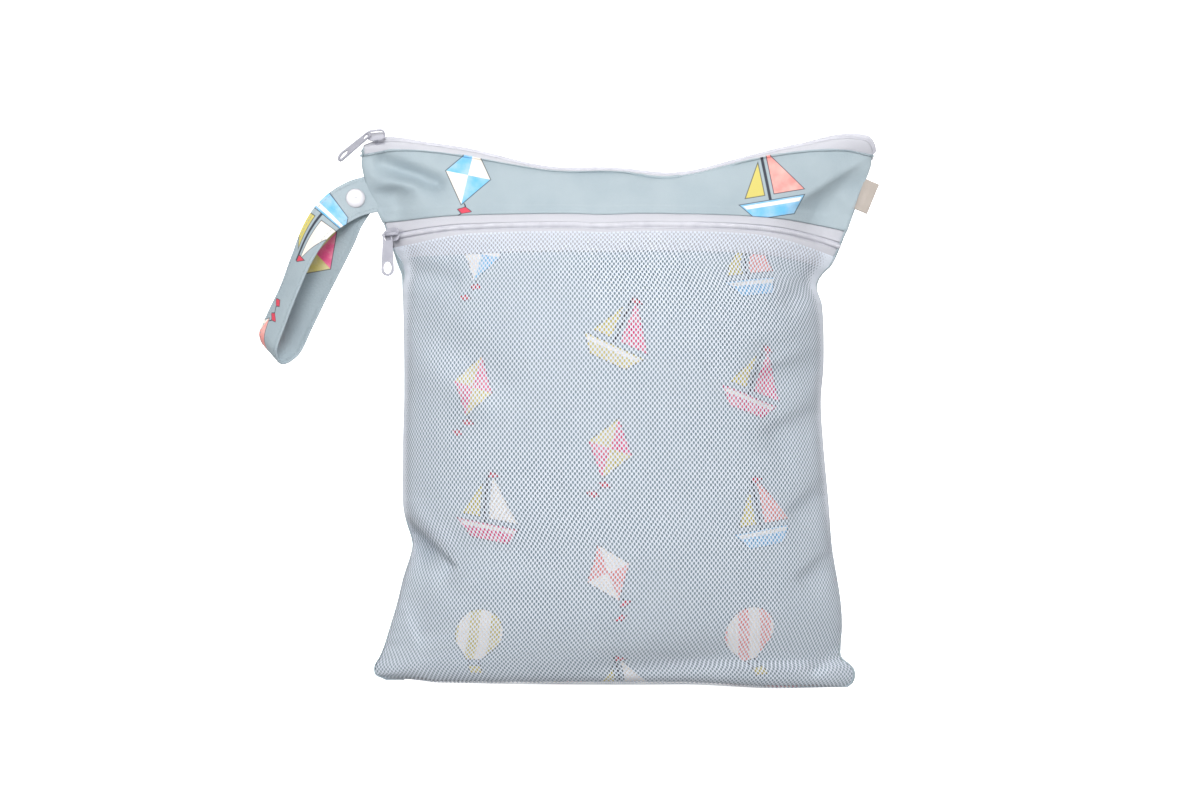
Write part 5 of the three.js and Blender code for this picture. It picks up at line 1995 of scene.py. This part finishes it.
@dataclass(frozen=True)
class Label:
    """The bare ribbon folded into the right seam."""

    kit: Kit
    along: float = 20.5
    out: float = 9.8
    gap: float = 0.5
    height: float = 315.2
    thick: float = 0.25
    sewn_in: float = 2.0
    fold_share: float = 6.0
    wave: float = 0.35
    wave_pitch: float = 4.0

    def seam_point(self, height: float) -> Array:
        """A point of the right seam."""
        return np.array([float(OUTLINE.at("right", np.array(height))), 0.0, height])

    def build(self) -> None:
        """Makes the ribbon: out of the seam, round a fold, and back."""
        low, high = (self.seam_point(self.height + step * self.along / 2) for step in (-1, 1))
        up = unit(high - low)
        out = np.cross(up, -BACKWARD)
        t = np.linspace(-1, 1, 49)
        reach = self.out * np.sqrt(np.sqrt(np.maximum(1 - t**4, 0))) - self.sewn_in
        side = self.gap * np.sign(t) * np.minimum(1.0, np.abs(t) * self.fold_share)
        rise = np.linspace(-0.5, 0.5, 30) * self.along
        wave = self.wave * np.sin(rise / self.wave_pitch)
        away = side[None, :] + wave[:, None] * (reach / self.out)[None, :]
        points = self.seam_point(self.height) + up * rise[:, None, None] + out * reach[None, :, None]
        points = points + BACKWARD * away[..., None]
        flat = np.stack(np.broadcast_arrays(t[None, :] * self.out, rise[:, None]), axis=-1)
        ribbon = Piece("side_label_ribbon", ("side_label",), Slot.LABEL, self.kit.label)
        obj = ribbon.make(Shape.grid(points, flat), self.thick, 0.0)
        size = (2 * (self.out + 1) * MM, self.along * MM)


@dataclass(frozen=True)
class SoftBox:
    """A square area lamp: where it stands, its side and power, and the point it faces."""

    name: str
    place: Triple
    size: float
    power: float
    aim: Triple = (0.0, 0.0, 0.17)


SOFT_BOXES = (
    SoftBox("key box", (-0.2, -1.8, 0.9), 0.8, 24.5),
    SoftBox("right box", (1.7, -1.4, 0.75), 1.4, 13.5),
    SoftBox("left box", (-1.7, -1.3, 0.7), 1.2, 13.0),
    SoftBox("back box", (0.3, 1.6, 1.3), 1.0, 9.0),
    SoftBox("backdrop box", (0.0, 1.2, 2.6), 2.4, 40.0, (0.0, 2.4, 0.3)),
)


@dataclass(frozen=True)
class Studio:
    """A pale floor and backdrop, soft lamps and the camera; lengths here are metres."""

    photo_width: int = 1200
    scale: float = 0.64
    distance: float = 2.0
    middle: Pair = (-0.0096, 0.1837)
    sensor: float = 36.0
    floor_reach: float = 16.0
    curve_start: float = 2.0
    curve_radius: float = 1.0
    wall_height: float = 5.0
    paper_glow: float = 0.94
    room_light: float = 0.42

    def build(self) -> None:
        """Makes the stage, the lamps and the camera."""
        self.floor()
        self.lamps()
        self.camera()
        bpy.context.scene.view_settings.view_transform = "Standard"

    def floor(self) -> None:
        """One sheet: a floor that curves up into a backdrop."""
        t = np.linspace(0, math.pi / 2, 24)
        start, radius, reach = self.curve_start, self.curve_radius, self.floor_reach
        y = np.concatenate([[-reach], start + radius * np.sin(t), [start + radius]])
        z = np.concatenate([[0.0], radius - radius * np.cos(t), [self.wall_height]])
        x = np.linspace(-reach, reach, 5)
        points = np.stack(np.broadcast_arrays(x[None, :], y[:, None], z[:, None]), axis=-1)
        mesh = bpy.data.meshes.new("studio_floor")
        shape = Shape.grid(points)
        mesh.from_pydata(shape.points.tolist(), [], shape.faces[0].tolist())
        board = NodeBoard("studio paper")
        grain = board.noise(board.place(), 3.0, 2.0)
        colour = board.mix(grain, srgb(251, 251, 252), srgb(249, 249, 251))
        glow = {"Emission_Color": (1.0, 1.0, 1.0, 1.0), "Emission_Strength": self.paper_glow}
        board.finish(colour, 0.9, None, 0.0, **glow)
        mesh.materials.append(board.material)
        obj = bpy.data.objects.new("studio_floor", mesh)
        obj.visible_diffuse = False
        obj.visible_glossy = False
        bpy.context.scene.collection.objects.link(obj)

    def lamps(self) -> None:
        """A bright even room and five soft boxes."""
        world = bpy.data.worlds.new("studio room")
        world.use_nodes = True
        sky = world.node_tree.nodes["Background"]
        sky.inputs[0].default_value = (1.0, 1.0, 1.0, 1.0)
        sky.inputs[1].default_value = self.room_light
        bpy.context.scene.world = world
        for box in SOFT_BOXES:
            lamp = bpy.data.lights.new(box.name, "AREA")
            lamp.energy = box.power
            lamp.size = box.size
            obj = bpy.data.objects.new(box.name, lamp)
            obj.location = box.place
            obj.rotation_euler = self.facing(np.array(box.place), np.array(box.aim))
            bpy.context.scene.collection.objects.link(obj)

    @staticmethod
    def facing(place: Array, aim: Array) -> Triple:
        """Angles that turn a lamp at a place towards a point."""
        way = aim - place
        tilt = math.atan2(math.hypot(way[0], way[1]), -way[2])
        return (tilt, 0.0, math.atan2(-way[0], way[1]))

    def camera(self) -> None:
        """A level camera square to the bag's front."""
        data = bpy.data.cameras.new("camera")
        data.sensor_width = self.sensor
        frame_width = self.photo_width * self.scale * MM
        data.lens = self.sensor * self.distance / frame_width
        obj = bpy.data.objects.new("camera", data)
        obj.location = (self.middle[0], SEAM_Y * MM - self.distance, self.middle[1])
        obj.rotation_euler = (math.pi / 2, 0.0, 0.0)
        bpy.context.scene.collection.objects.link(obj)
        bpy.context.scene.camera = obj


def main() -> None:
    """Builds all pieces and the studio."""
    kit = Kit.build()
    skins = Skins.build()
    lines = ZipLines(skins.form.length_at(Side.FRONT, ZIP_HEIGHT))
    Walls(skins, lines, kit).build()
    PocketZip(skins, lines, kit).build()
    TopZip(skins, kit).build()
    Sliders(skins, lines, kit).build()
    Strap(kit).build()
    Label(kit).build()
    Studio().build()
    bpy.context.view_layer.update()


if __name__ == "__main__":
    main()
